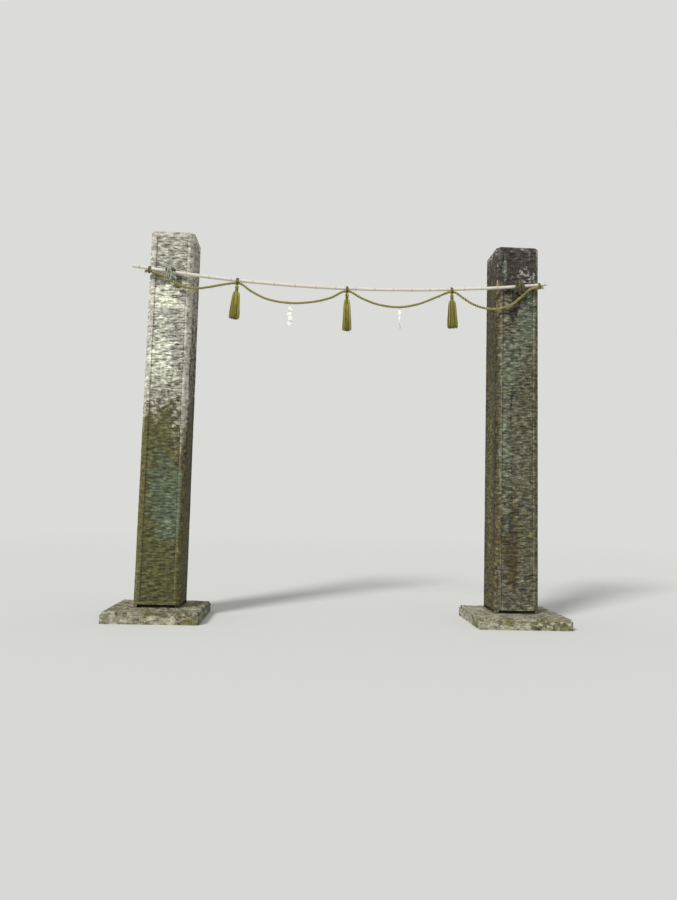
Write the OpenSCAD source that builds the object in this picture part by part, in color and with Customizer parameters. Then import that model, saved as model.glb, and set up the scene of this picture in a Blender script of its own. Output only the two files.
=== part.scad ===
// Stone post rope gate: two squared granite posts stand on stepped stone bases. A bent bamboo pole
// hangs in iron hooks across their front faces, and a twisted straw rope hangs under it in swags,
// with straw tassels and folded paper streamers. Millimetres, Z up, front towards -Y. The origin is
// on the ground, midway between the posts, at the middle of the bases.

/* [Layout] */
// Distance between the centre lines of the two posts
post_spacing = 4260; // [3900:10:5200]

/* [Stone posts] */
// Width of a post at its foot
post_foot_w = 545; // [420:5:700]
// Width of a post at its top
post_top_w = 530; // [400:5:680]
// Height of a post above its base
post_h = 4500; // [4200:10:6000]
// Width of the flat cut on each upright corner, measured along a face
corner_cut = 45; // [20:1:70]
// Width of the smooth margin beside each corner cut
margin_w = 32; // [10:1:70]
// Height of the smooth band at each end of a pointed panel
panel_end_band = 70; // [30:5:200]
// Depth of the pointed panel below its margins
panel_depth = 4; // [1:0.5:10]
// Height of the shallow opening under each face, between the corner feet
foot_gap_h = 34; // [10:1:60]
// Depth of that opening
foot_gap_depth = 45; // [20:5:120]
// Width of face that each corner foot keeps beside its corner cut
foot_keep_w = 6; // [2:1:60]
// Bevel round the top of a post
post_top_bevel = 6; // [2:1:20]

/* [Stone bases] */
// Thickness of the upper slab
slab_h = 30; // [20:1:80]
// Height of the lower stone
footing_h = 100; // [60:5:300]
// How far the lower stone stands out past the slab
ledge_w = 15; // [5:1:60]
// Slab to each side of a post
side_margin = 260; // [120:5:400]
// Slab in front of a post
front_margin = 340; // [200:5:500]
// Slab behind a post
back_margin = 120; // [60:5:400]
// Bevel round the upper edge of each base stone
stone_bevel = 5; // [1:1:12]

/* [Bamboo pole] */
// Length of the pole along X
pole_len = 5050; // [4950:10:5300]
// How far the pole's middle lies to the left of the gate's middle
pole_shift = 52; // [0:1:80]
// Distance from the posts' tops down to the pole's lowest point, at its centre line
pole_below_top = 630; // [580:5:730]
// How far the pole's ends stand above that point
pole_bow = 165; // [60:5:240]
// Diameter at the thick end
pole_thick_d = 44; // [38:0.5:50]
// Diameter at the thin end
pole_thin_d = 35; // [30:0.5:38]
// How far a joint ring stands out of the pole
ring_rise = 2.2; // [1:0.1:4]
// Width of a joint ring
ring_w = 11; // [6:0.5:16]
// Distance from the thick end to the first joint ring
first_ring = 85; // [70:5:95]
// Length of the first internode
internode = 280; // [278:1:282]
// How much each internode is shorter than the one before it
internode_step = 4.5; // [4.3:0.1:4.6]
// Wall of the bamboo where its ends are open
bamboo_wall = 6; // [4:0.5:9]
// Depth of the open ends
open_end = 22; // [10:1:25]

/* [Iron hooks] */
// Width of a hook
hook_w = 24; // [16:1:26]
// Thickness of a hook
hook_t = 8; // [5:0.5:12]
// How far the hook's tail goes into the stone
hook_tail = 80; // [40:5:150]
// How far the hook's tip rises past the pole's centre line
hook_tip = 8; // [0:1:15]

/* [Lashings] */
// Diameter of the rope turned round the pole at each post
lash_d = 22; // [16:1:24]
// Turns on each side of a hook
lash_turns = 2; // [1:1:2]
// Diameter of the crossed strands over a hook
knot_d = 20; // [14:1:24]
// Length of the crossed strands
knot_len = 108; // [90:1:120]
// Length of the loose end below the knot
knot_end_len = 62; // [30:1:70]
// How far the crossed strands lean from the upright, in degrees
knot_angle = 52; // [40:1:60]
// How far the loose end leans towards the gate's middle, in degrees
knot_end_lean = 14; // [0:1:20]

/* [Straw rope and its ties] */
// Diameter of the straw rope
rope_d = 30; // [24:1:34]
// Diameter of the string of a tie
string_d = 9; // [6:0.5:11]
// Turns in each tie
tie_turns = 4; // [2:1:4]
// Distance of the left tie from the gate's middle
tie_left_x = 1325; // [1320:1:1330]
// Distance of the right tie from the gate's middle
tie_right_x = 1285; // [1280:1:1290]
// Distance of both end ties from the gate's middle
tie_end_x = 2375; // [2370:1:2380]

/* [Tassels] */
// Length of the left, the middle and the right tassel
tassel_lens = [415, 465, 425]; // [250:5:600]
// Diameter of the left, the middle and the right tassel at its lower end
tassel_ds = [118, 104, 120]; // [60:2:200]
// How far each tassel leans to the right, in degrees
tassel_leans = [-3.5, 1, 2]; // [-10:0.5:10]
// Diameter of a tassel's head
tassel_head_d = 34; // [24:1:50]
// Length of the head above its binding
tassel_head_len = 46; // [30:1:80]
// Diameter of the string that binds a tassel
binding_d = 7; // [4:0.5:12]
// Turns in a binding
binding_turns = 3; // [1:1:5]

/* [Paper streamers] */
// Width of one leaf of folded paper
leaf_w = 46; // [30:1:80]
// Height of one leaf
leaf_h = 66; // [40:1:100]
// Sideways step from one leaf to the next
leaf_step = 24; // [8:1:28]
// How far a leaf slants along its height
leaf_slant = 12; // [0:1:20]
// Thickness of the folded paper
paper_t = 1.6; // [1:0.1:3]
// Number of leaves
leaves = 4; // [2:1:6]
// Distance of the left streamer from the gate's middle
streamer_left_x = 690; // [600:5:760]
// Distance of the right streamer from the gate's middle
streamer_right_x = 645; // [600:5:760]
// How far the left and the right streamer are turned about the vertical, in degrees
streamer_turns = [12, 52]; // [-80:1:80]
// Diameter of the cord that carries a streamer
carry_d = 5; // [3:0.5:8]
// Length of that cord below the rope
carry_drop = 16; // [8:1:40]

/* [Hidden] */

// Clearance between pieces that lie against each other
seat = 0.3;
// Clearance round the straw rope where a tie holds it
snug = 0.5;
// An extra length for cuts that run past a face
past = 1;
// Sides of the swept rope
rope_sides = 10;
// Steps in the arcs of a tie's outline and of a hook
arc_steps = 16;

base_h = slab_h + footing_h;
post_x = post_spacing / 2;
post_y = (front_margin - back_margin) / 2;
slab_w = post_foot_w + 2 * side_margin;
slab_d = post_foot_w + front_margin + back_margin;
face_tilt = atan((post_foot_w - post_top_w) / 2 / post_h);

// Half the width of a post at height z above the ground
function post_half(z) = (post_foot_w - (post_foot_w - post_top_w) * (z - base_h) / post_h) / 2;

pole_mid_z = base_h + post_h - pole_below_top;
pole_x0 = -pole_len / 2 - pole_shift;
pole_x1 = pole_x0 + pole_len;
pole_radius_of_bend = ((pole_len / 2) ^ 2 + pole_bow ^ 2) / (2 * pole_bow);
// Height of the bend at x: a circular arc that is lowest at the gate's middle
function arc_z(x) = pole_mid_z + pole_radius_of_bend - sqrt(pole_radius_of_bend ^ 2 - x ^ 2);
// The joint rings, each internode a little shorter than the one before
ring_xs = [for (k = [0:30])
    let (x = pole_x0 + first_ring + k * internode - internode_step * k * (k - 1) / 2)
    if (x < pole_x1 - open_end - ring_w / 2) x];
// Where the straight internodes meet: the pole's ends and its joint rings
stops = concat([pole_x0], ring_xs, [pole_x1]);
// The internode that x lies in
function bay(x) = max([for (i = [0:len(stops) - 2]) if (i == 0 || stops[i] <= x) i]);
function pole_z(x) = let (i = bay(x))
    arc_z(stops[i]) + (arc_z(stops[i + 1]) - arc_z(stops[i])) * (x - stops[i]) / (stops[i + 1] - stops[i]);
function pole_rise_angle(x) = let (i = bay(x))
    atan((arc_z(stops[i + 1]) - arc_z(stops[i])) / (stops[i + 1] - stops[i]));
function pole_r(x) = (pole_thick_d - (pole_thick_d - pole_thin_d) * (x - pole_x0) / pole_len) / 2;
// The pole stands off the stone by the thickness of a lashing
pole_y = post_y - post_half(arc_z(post_x)) - pole_r(-post_x) - lash_d - 3 * seat;

// Route of the straw rope: x, drop below where it touches the pole, distance in front of the pole
route = [
    [-2405, 0, 0], [-2375, 0, 0], [-2320, 2, 4], [-2240, 18, 20], [-2150, 58, 30],
    [-2060, 100, 24], [-1950, 127, 8], [-1810, 122, 0], [-1650, 82, 0], [-1500, 36, 0],
    [-1380, 4, 0], [-1325, 0, 0], [-1275, 6, 0], [-1160, 78, 0], [-960, 158, 0],
    [-700, 184, 0], [-440, 156, 0], [-200, 90, 0], [-50, 6, 0], [0, 0, 0],
    [50, 6, 0], [190, 82, 0], [400, 154, 0], [640, 180, 0], [870, 144, 0],
    [1090, 62, 0], [1235, 4, 0], [1285, 0, 0], [1335, 7, 0], [1430, 76, 0],
    [1560, 162, 0], [1720, 220, 0], [1880, 232, 0], [2030, 192, 8], [2150, 106, 22],
    [2235, 34, 18], [2310, 3, 4], [2375, 0, 0], [2405, 0, 0]
];
// Radius of a tassel's head at its top, and of its neck under the binding
tassel_top_r = tassel_head_d * 0.3;
tassel_waist_r = tassel_head_d * 0.38;

// From the pole's centre line down to the rope's, where they touch
function touch_drop(x) = pole_r(x) + rope_d / 2 + snug;
rope_points = [for (p = route) [p[0], pole_y - p[2], pole_z(p[0]) - touch_drop(p[0]) - p[1]]];

// A smooth curve through points: the direction at each one follows its two neighbours
function leg(i) = norm(rope_points[i + 1] - rope_points[i]);
function heading(i) = let (a = max(i - 1, 0), b = min(i + 1, len(rope_points) - 1))
    (rope_points[b] - rope_points[a]) / ((a < i ? leg(a) : 0) + (b > i ? leg(i) : 0));
function on_rope(i, t) =
    (2 * t ^ 3 - 3 * t ^ 2 + 1) * rope_points[i] + (t ^ 3 - 2 * t ^ 2 + t) * leg(i) * heading(i)
    + (3 * t ^ 2 - 2 * t ^ 3) * rope_points[i + 1] + (t ^ 3 - t ^ 2) * leg(i) * heading(i + 1);
rope_line = concat(
    [for (i = [0:len(rope_points) - 2], t = [0, 0.5]) on_rope(i, t)],
    [rope_points[len(rope_points) - 1]]
);
// Height of the rope's centre line at x
function rope_z(x) = let (i = max([for (k = [0:len(rope_line) - 2]) if (k == 0 || rope_line[k][0] <= x) k]))
    rope_line[i][2] + (rope_line[i + 1][2] - rope_line[i][2])
    * (x - rope_line[i][0]) / (rope_line[i + 1][0] - rope_line[i][0]);

// A square ring with cut corners, anticlockwise seen from above
function cut_square(w, cut, z) = let (h = w / 2, k = w / 2 - cut) [
    [k, -h, z], [h, -k, z], [h, k, z], [k, h, z], [-k, h, z], [-h, k, z], [-h, -k, z], [-k, -h, z]];

// A plain rectangle at height z, anticlockwise seen from above
function oblong(w, d, z) = [
    [w / 2, -d / 2, z], [w / 2, d / 2, z], [-w / 2, d / 2, z], [-w / 2, -d / 2, z]];

// Joins rings of equal numbers of points, lowest first, into one closed solid
module loft(rings) {
    n = len(rings[0]);
    top = (len(rings) - 1) * n;
    polyhedron(
        points = [for (r = rings, p = r) p],
        faces = concat(
            [[for (i = [0:n - 1]) i]],
            [[for (i = [0:n - 1]) top + n - 1 - i]],
            [for (k = [0:len(rings) - 2], i = [0:n - 1])
                [k * n + i, (k + 1) * n + i, (k + 1) * n + (i + 1) % n, k * n + (i + 1) % n]]
        )
    );
}

// Moves its children to the pole's centre line at x, with X along the pole there
module at_pole(x) {
    translate([x, pole_y, pole_z(x)]) rotate([0, -pole_rise_angle(x), 0]) children();
}

// Turns an outline in the YZ plane into a solid of width w, centred on X
module across(w) {
    translate([-w / 2, 0, 0]) rotate([90, 0, 90]) linear_extrude(w) children();
}

// The rope turns, as outlines of two circles one above the other with a belt round them
function belt(r_top, r_low, drop) = let (lean = asin((r_top - r_low) / drop)) concat(
    [for (i = [0:arc_steps]) let (a = -lean + i * (180 + 2 * lean) / arc_steps) r_top * [cos(a), sin(a)]],
    [for (i = [0:arc_steps]) let (a = 180 + lean + i * (180 - 2 * lean) / arc_steps)
        [r_low * cos(a), r_low * sin(a) - drop]]
);

// One face's pointed panel, as the block that is cut away
module panel_cut() {
    low = panel_end_band;
    high = post_h - panel_end_band;
    half_low = post_foot_w / 2 - corner_cut - margin_w;
    half_high = post_top_w / 2 - corner_cut - margin_w;
    translate([0, -post_foot_w / 2, base_h]) rotate([-face_tilt, 0, 0])
        translate([0, panel_depth, 0]) rotate([90, 0, 0]) linear_extrude(panel_depth + past)
            polygon([[-half_low, low], [half_low, low], [half_high, high], [-half_high, high]]);
}

// The shallow opening under one face
module foot_gap() {
    w = post_foot_w - 2 * (corner_cut + foot_keep_w);
    translate([-w / 2, -post_foot_w / 2 - past, base_h - past])
        cube([w, foot_gap_depth + past, foot_gap_h + past]);
}

// The tail, seat and tip of a hook in the YZ plane, with the pole's centre at the origin
module hook_outline(r, grow) {
    inner = r + seat - grow;
    outer = r + seat + hook_t + grow;
    back = post_y - post_half(arc_z(post_x)) - pole_y + hook_tail + grow;
    polygon(concat(
        [[back, -outer], [back, -inner]],
        [for (i = [0:arc_steps]) let (a = 270 - i * 90 / arc_steps) inner * [cos(a), sin(a)]],
        [[-inner, hook_tip], [-outer, hook_tip]],
        [for (i = [0:arc_steps]) let (a = 180 + i * 90 / arc_steps) outer * [cos(a), sin(a)]]
    ));
}

module hook(side) {
    x = side * post_x;
    color("#3b3733") at_pole(x) across(hook_w) hook_outline(pole_r(x), 0);
}

module shaft(side) {
    x = side * post_x;
    color(side < 0 ? "#a9a79a" : "#7c7468") difference() {
        translate([x, post_y, 0]) difference() {
            loft([
                cut_square(post_foot_w, corner_cut, base_h),
                cut_square(post_top_w, corner_cut, base_h + post_h - post_top_bevel),
                cut_square(post_top_w - 2 * post_top_bevel, corner_cut, base_h + post_h)
            ]);
            for (turn = [0:90:270]) rotate([0, 0, turn]) {
                panel_cut();
                foot_gap();
            }
        }
        at_pole(x) across(hook_w + 2 * seat) hook_outline(pole_r(x), seat);
    }
}

module base_slab(side) {
    color("#8b8c7d") translate([side * post_x, 0, 0]) loft([
        oblong(slab_w, slab_d, footing_h),
        oblong(slab_w, slab_d, base_h - stone_bevel),
        oblong(slab_w - 2 * stone_bevel, slab_d - 2 * stone_bevel, base_h)
    ]);
}

module footing_stone(side) {
    w = slab_w + 2 * ledge_w;
    d = slab_d + 2 * ledge_w;
    color("#76776a") translate([side * post_x, 0, 0]) loft([
        oblong(w, d, 0),
        oblong(w, d, footing_h - stone_bevel),
        oblong(w - 2 * stone_bevel, d - 2 * stone_bevel, footing_h)
    ]);
}

// One straight internode, from the middle of one joint ring to the middle of the next
module internode_bar(i) {
    a = [stops[i], pole_y, arc_z(stops[i])];
    b = [stops[i + 1], pole_y, arc_z(stops[i + 1])];
    trim_a = i == 0 ? 0 : past;
    trim_b = i == len(stops) - 2 ? 0 : past;
    length = norm(b - a) - trim_a - trim_b;
    translate(a) rotate([0, 90 - pole_rise_angle(a[0]), 0]) translate([0, 0, trim_a])
        cylinder(h = length, r1 = pole_r(a[0]), r2 = pole_r(b[0]), $fn = 48);
}

module bamboo_pole() {
    color("#cbbf9f") difference() {
        union() {
            for (i = [0:len(stops) - 2]) internode_bar(i);
            for (x = ring_xs) at_pole(x) rotate([0, 90, 0])
                rotate_extrude($fn = 48) polygon([
                    [0, -ring_w / 2], [pole_r(x) + past / 2, -ring_w / 2],
                    [pole_r(x) + ring_rise, -ring_w / 8], [pole_r(x) + ring_rise, ring_w / 8],
                    [pole_r(x) + past / 2, ring_w / 2], [0, ring_w / 2]]);
        }
        for (x = [pole_x0 + open_end, pole_x1]) at_pole(x) rotate([0, -90, 0])
            translate([0, 0, x == pole_x1 ? -past : 0])
            cylinder(h = open_end + past, r = pole_r(x) - bamboo_wall, $fn = 48);
    }
}

// Distance of a turn of the lashing from the middle of the hook
function turn_x(k) = hook_w / 2 + 2 * seat + (k + 0.5) * (lash_d + seat);

// Turns of rope round the pole on both sides of a hook
module lashing(side) {
    x = side * post_x;
    ring = pole_r(x) + seat + lash_d / 2;
    color("#a39a6c") at_pole(x)
        for (s = [-1, 1], k = [0:lash_turns - 1])
            translate([s * turn_x(k), 0, 0]) rotate([0, 90, 0])
                rotate_extrude($fn = 64) translate([ring, 0]) circle(d = lash_d, $fn = 24);
}

// A bar of rope along Z with round ends
module strand(length, d) {
    rotate_extrude($fn = 32) polygon(concat(
        [[0, -length / 2]],
        [for (a = [-75:15:0]) [d / 2 * cos(a), d / 2 * sin(a) - length / 2 + d / 2]],
        [for (a = [0:15:75]) [d / 2 * cos(a), d / 2 * sin(a) + length / 2 - d / 2]],
        [[0, length / 2]]
    ));
}

// How far in front of the pole's centre line a crossed strand rests on a turn of the lashing
function strand_front(x) = max([for (a = [-90:2:90], k = [0:lash_turns - 1])
    let (
        ring = pole_r(x) + seat + lash_d / 2,
        reach = (lash_d + knot_d) / 2 + seat,
        miss = turn_x(k) * cos(knot_angle) - ring * sin(a) * sin(knot_angle)
    )
    abs(miss) < reach ? ring * cos(a) + sqrt(reach ^ 2 - miss ^ 2) : 0]);

// Two strands crossed over the hook's tip, with a loose end below
module knot(side) {
    x = side * post_x;
    color("#8f8557") at_pole(x) translate([0, -strand_front(x), 0]) {
        rotate([0, knot_angle, 0]) strand(knot_len, knot_d);
        translate([0, -knot_d / 2, 0]) rotate([0, -knot_angle, 0]) strand(knot_len, knot_d);
        translate([0, -knot_d / 4, -knot_end_len / 2]) rotate([0, side * knot_end_lean, 0])
            strand(knot_end_len + knot_d, knot_d - 4);
    }
}

// The straw rope, swept along its route with rings square to it
module straw_rope() {
    n = rope_sides;
    last = len(rope_line) - 1;
    rings = [for (i = [0:last])
        let (
            along = rope_line[min(i + 1, last)] - rope_line[max(i - 1, 0)],
            ahead = along / norm(along),
            up = cross(ahead, [0, 1, 0]) / norm(cross(ahead, [0, 1, 0])),
            side = cross(up, ahead)
        )
        [for (k = [0:n - 1]) rope_line[i] + rope_d / 2 * (cos(360 * k / n) * side - sin(360 * k / n) * up)]];
    color("#a49b62") loft(rings);
}

// String turned round the pole and the rope
module tie(x) {
    drop = touch_drop(x);
    width = tie_turns * string_d;
    color("#968c5c") at_pole(x) {
        difference() {
            across(width - string_d / 2)
                polygon(belt(pole_r(x) + snug + string_d * 0.7, rope_d / 2 + snug + string_d * 0.7, drop));
            across(width) polygon(belt(pole_r(x) + snug, rope_d / 2 + snug, drop));
        }
        for (k = [0:tie_turns - 1]) translate([(k + 0.5) * string_d - width / 2, 0, 0]) difference() {
            across(string_d * 0.7)
                polygon(belt(pole_r(x) + snug + string_d, rope_d / 2 + snug + string_d, drop));
            across(string_d) polygon(belt(pole_r(x) + snug, rope_d / 2 + snug, drop));
        }
    }
}

// Moves its children to the underside of a tie, with Z down the tassel's own axis, low enough
// that the angle between the tie and the head's flat top leaves them clear of each other
module under_tie(x, lean) {
    slope = pole_rise_angle(x);
    reach = touch_drop(x) + rope_d / 2 + snug + string_d;
    room = tassel_top_r * abs(sin(slope - lean)) + seat;
    translate([x + reach * sin(slope), pole_y, pole_z(x) - reach * cos(slope) - room])
        rotate([180, -lean, 0]) children();
}

// A head, a bound neck, and a skirt of straws that spreads towards its lower end
module tassel(x, length, d, lean) {
    neck = tassel_head_len + binding_turns * binding_d;
    color("#a89d5f") under_tie(x, lean) rotate_extrude($fn = 64) polygon([
        [0, 0], [tassel_top_r, 0], [tassel_head_d / 2, tassel_head_len * 0.35],
        [tassel_head_d / 2, tassel_head_len * 0.75], [tassel_waist_r, tassel_head_len],
        [tassel_waist_r, neck], [tassel_head_d * 0.62, neck + tassel_head_len * 0.4],
        [d * 0.36, length * 0.55], [d / 2, length - d * 0.1], [d * 0.46, length], [0, length - d * 0.08]
    ]);
}

module binding(x, lean) {
    color("#7f7546") under_tie(x, lean)
        for (k = [0:binding_turns - 1]) translate([0, 0, tassel_head_len + (k + 0.5) * binding_d])
            rotate_extrude($fn = 48) translate([tassel_waist_r + seat + binding_d / 2, 0])
                circle(d = binding_d - seat, $fn = 16);
}

// Where the paper hangs below the rope
function paper_top(x) = rope_z(x) - rope_d / 2 - carry_drop;

// A ring of cord round the rope with a short stem to the paper
module carry_cord(x) {
    color("#d8d4c4") translate([x, pole_y, rope_z(x)]) {
        rotate([0, 90, 0]) rotate_extrude($fn = 48)
            translate([rope_d / 2 + snug + carry_d / 2, 0]) circle(d = carry_d, $fn = 16);
        translate([0, 0, -rope_d / 2 - carry_drop + seat])
            cylinder(h = carry_drop - snug - carry_d / 2 - seat, d = carry_d, $fn = 24);
    }
}

// Leaves of folded paper, each stepped to the side of the one above and behind or before it
module streamer(x, turn) {
    color("#f1efe8") translate([x, pole_y, paper_top(x)]) rotate([0, 0, turn])
        for (k = [0:leaves - 1]) {
            side = k % 2 == 0 ? 1 : -1;
            edge = side * leaf_step / 2;
            translate([edge, (k % 2) * paper_t * 0.6, -k * leaf_h * 0.86]) rotate([90, 0, 0])
                linear_extrude(paper_t) polygon([
                    [-leaf_w / 2 - side * leaf_slant / 2, 0], [leaf_w / 2 - side * leaf_slant / 2, 0],
                    [leaf_w / 2 + side * leaf_slant / 2, -leaf_h],
                    [-leaf_w / 2 + side * leaf_slant / 2, -leaf_h]]);
        }
}

shaft(-1);  // left_shaft
shaft(1);  // right_shaft
base_slab(-1);  // left_base_slab
base_slab(1);  // right_base_slab
footing_stone(-1);  // left_footing_stone
footing_stone(1);  // right_footing_stone
bamboo_pole();
hook(-1);  // left_hook
hook(1);  // right_hook
lashing(-1);  // left_lashing
lashing(1);  // right_lashing
knot(-1);  // left_knot
knot(1);  // right_knot
straw_rope();
tie(-tie_end_x);  // left_end_tie
tie(-tie_left_x);  // left_tie
tie(0);  // middle_tie
tie(tie_right_x);  // right_tie
tie(tie_end_x);  // right_end_tie
tassel(-tie_left_x, tassel_lens[0], tassel_ds[0], tassel_leans[0]);  // left_tassel
tassel(0, tassel_lens[1], tassel_ds[1], tassel_leans[1]);  // middle_tassel
tassel(tie_right_x, tassel_lens[2], tassel_ds[2], tassel_leans[2]);  // right_tassel
binding(-tie_left_x, tassel_leans[0]);  // left_binding
binding(0, tassel_leans[1]);  // middle_binding
binding(tie_right_x, tassel_leans[2]);  // right_binding
carry_cord(-streamer_left_x);  // left_carry_cord
carry_cord(streamer_right_x);  // right_carry_cord
streamer(-streamer_left_x, streamer_turns[0]);  // left_streamer
streamer(streamer_right_x, streamer_turns[1]);  // right_streamer
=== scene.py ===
"""Fine form and finishes of a stone post rope gate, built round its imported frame.

Two weathered granite posts stand on stepped bases. A bleached bamboo pole hangs in iron hooks
across their fronts. A straw rope hangs under the pole in four swags, with straw tassels and folded
paper streamers. Lengths are in metres, +X runs along the pole and the front looks towards -Y.
"""

import logging
import math
from collections.abc import Sequence
from dataclasses import dataclass, field
from enum import Enum

import bpy
import numpy as np
from mathutils import Matrix
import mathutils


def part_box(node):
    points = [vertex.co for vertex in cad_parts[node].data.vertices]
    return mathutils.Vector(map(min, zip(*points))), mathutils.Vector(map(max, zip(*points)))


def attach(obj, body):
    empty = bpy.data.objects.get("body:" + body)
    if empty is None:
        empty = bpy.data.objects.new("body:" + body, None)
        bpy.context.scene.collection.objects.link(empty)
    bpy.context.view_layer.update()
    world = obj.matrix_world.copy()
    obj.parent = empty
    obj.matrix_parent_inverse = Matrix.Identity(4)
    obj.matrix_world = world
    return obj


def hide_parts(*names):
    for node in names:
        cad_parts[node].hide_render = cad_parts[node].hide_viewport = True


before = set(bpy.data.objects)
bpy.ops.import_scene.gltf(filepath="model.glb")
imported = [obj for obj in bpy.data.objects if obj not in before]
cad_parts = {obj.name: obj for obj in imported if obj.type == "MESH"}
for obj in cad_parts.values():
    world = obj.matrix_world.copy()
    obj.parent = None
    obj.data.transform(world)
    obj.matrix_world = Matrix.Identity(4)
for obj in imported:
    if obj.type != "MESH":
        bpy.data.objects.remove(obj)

LOG = logging.getLogger("gate")
Array = np.ndarray
Socket = bpy.types.NodeSocket
Material = bpy.types.Material
Vector = tuple[float, float, float]
BODY = "root"
TURN = 2 * math.pi
ALONG_X = (1.0, 0.0, 0.0)
ALONG_Y = (0.0, 1.0, 0.0)
ALONG_Z = (0.0, 0.0, 1.0)
OFF_STRAWS = (0.12, 1.0, 0.2)  # a slanted direction that no loose straw follows
OFF_TASSELS = (0.05, 1.0, 0.08)  # a slanted direction that no straw of a tassel follows
USUAL = (0.34, 0.66)  # where nearly all values of a noise texture lie
WORD = 0xFFFFFFFF
SHARE, UNDER, OVER, MIXED = 0, 6, 7, 2  # a Mix node's inputs and its output, where it mixes colours
PRIMES = np.array([73856093, 19349663, 83492791], np.uint32)
SEED_PRIME = 2654435761
STIR = np.uint32(0x45D9F3B)
OCTAVE_SHIFT = 17.3


class Film(Enum):
    """What weather leaves on the stone. The value is the name of the point attribute."""

    EARTH = "earth"
    ALGAE = "algae"
    LICHEN = "lichen"
    SOOT = "soot"
    MOSS = "moss"
    PALE = "pale"


class Face(Enum):
    """The four faces of a post, anticlockwise from above. The value counts the quarter turns."""

    FRONT = 0
    RIGHT = 1
    BACK = 2
    LEFT = 3

    @property
    def outward(self) -> Array:
        """The direction that the face looks in."""
        return np.array([(0, -1, 0), (1, 0, 0), (0, 1, 0), (-1, 0, 0)][self.value], float)

    @property
    def following(self) -> "Face":
        """The next face, anticlockwise from above."""
        return Face((self.value + 1) % 4)

    @property
    def across(self) -> Array:
        """The direction across the face, to the right for someone who looks at it."""
        return self.following.outward


def linear(colour: str) -> tuple[float, float, float, float]:
    """Turns an sRGB colour into linear values, by the sRGB standard's curve.

    Args:
        colour: the colour as # and six hex digits.

    Returns:
        Red, green and blue, and 1 for full opacity.
    """
    shares = [int(colour[k:k + 2], 16) / 255 for k in (1, 3, 5)]
    red, green, blue = [s / 12.92 if s <= 0.04045 else ((s + 0.055) / 1.055) ** 2.4 for s in shares]
    return red, green, blue, 1.0


def ease(value: Array) -> Array:
    """Limits a value to 0 to 1 and rounds both ends of its slope: 3 t squared less 2 t cubed."""
    t = np.clip(value, 0.0, 1.0)
    return t * t * (3 - 2 * t)


def scattered(cells: Array, seed: int) -> Array:
    """A repeatable random number from 0 to 1 for each whole-number cell.

    Args:
        cells: whole numbers, with the cell's two or three coordinates on the last axis.
        seed: picks one of many independent sets of numbers.

    Returns:
        One number a cell: its coordinates are multiplied by large primes, joined bit by bit and
        stirred by shifts and products in 32 bits.
    """
    keys = (cells.astype(np.int64) & WORD).astype(np.uint32) * PRIMES[:cells.shape[-1]]
    mixed = np.bitwise_xor.reduce(keys, axis=-1) ^ np.uint32((seed * SEED_PRIME + 97) & WORD)
    for shift in (16, 15):
        mixed = (mixed ^ (mixed >> np.uint32(shift))) * STIR
    return (mixed ^ (mixed >> np.uint32(16))) / 2.0 ** 32


def clouds(points: Array, size: float | tuple[float, ...], seed: int, octaves: int = 3) -> Array:
    """Soft noise from 0 to 1 with its largest features of that size.

    Random values at the corners of a lattice are blended across each cell with eased weights. Each
    further octave halves the cell and the weight, and the sum is divided by all the weights.

    Args:
        points: places, three coordinates on the last axis.
        size: the lattice's cell in metres, one value or one for each axis.
        seed: picks the set of random values.
        octaves: how many lattices are summed.

    Returns:
        One value a place.
    """
    total = np.zeros(points.shape[:-1])
    for octave in range(octaves):
        scaled = points / np.asarray(size) * 2 ** octave + OCTAVE_SHIFT * octave
        low = np.floor(scaled)
        t = ease(scaled - low)
        for corner in np.ndindex(2, 2, 2):
            weight = np.prod(np.where(corner, t, 1 - t), axis=-1)
            total += weight * scattered(low + corner, seed + octave) / 2 ** octave
    return total / (2 - 2.0 ** (1 - octaves))


def unit(vectors: Array) -> Array:
    """The vectors on the last axis, each brought to length 1."""
    return vectors / np.maximum(np.linalg.norm(vectors, axis=-1, keepdims=True), 1e-12)


def extended(points: Array, value: Array | float) -> Array:
    """The points with one more coordinate, in a shape that fits them."""
    return np.concatenate([points, np.broadcast_to(value, points.shape[:-1] + (1,))], axis=-1)


def run_length(path: Array) -> Array:
    """The distance along a path at each of its points."""
    steps = np.linalg.norm(np.diff(path, axis=-2), axis=-1)
    return np.concatenate([np.zeros(steps.shape[:-1] + (1,)), np.cumsum(steps, axis=-1)], axis=-1)


def even_steps(line: Array, step: float) -> Array:
    """The same line, with evenly spaced points.

    Args:
        line: (points, axes) places.
        step: about how far apart the new points are along the line.

    Returns:
        The new points, with both ends kept.
    """
    run = run_length(line)
    even = np.linspace(0, run[-1], max(int(round(run[-1] / step)), 3) + 1)
    return np.stack([np.interp(even, run, line[:, axis]) for axis in range(line.shape[1])], axis=1)


def smooth_line(points: Array, step: float, per_leg: int = 24) -> Array:
    """A smooth curve through given points.

    Between two points it is the cubic Hermite curve whose direction at each point is the line
    between that point's neighbours, divided by the length of the two legs there.

    Args:
        points: (points, 3) places that the curve runs through.
        step: about how far apart the curve's points are.
        per_leg: how many points a leg has before they are spaced evenly.

    Returns:
        (points, 3) places along the curve.
    """
    legs = np.linalg.norm(np.diff(points, axis=0), axis=1)
    before, after = np.append(0, legs), np.append(legs, 0)
    ahead = np.concatenate([points[1:], points[-1:]])
    behind = np.concatenate([points[:1], points[:-1]])
    heading = (ahead - behind) / (before + after)[:, None]
    t = np.linspace(0, 1, per_leg, endpoint=False)[None, :, None]
    start, end = points[:-1, None], points[1:, None]
    leave = (legs[:, None] * heading[:-1])[:, None]
    arrive = (legs[:, None] * heading[1:])[:, None]
    curve = ((2 * t ** 3 - 3 * t ** 2 + 1) * start + (t ** 3 - 2 * t ** 2 + t) * leave
             + (3 * t ** 2 - 2 * t ** 3) * end + (t ** 3 - t ** 2) * arrive)
    return even_steps(np.concatenate([curve.reshape(-1, 3), points[-1:]]), step)


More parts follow.
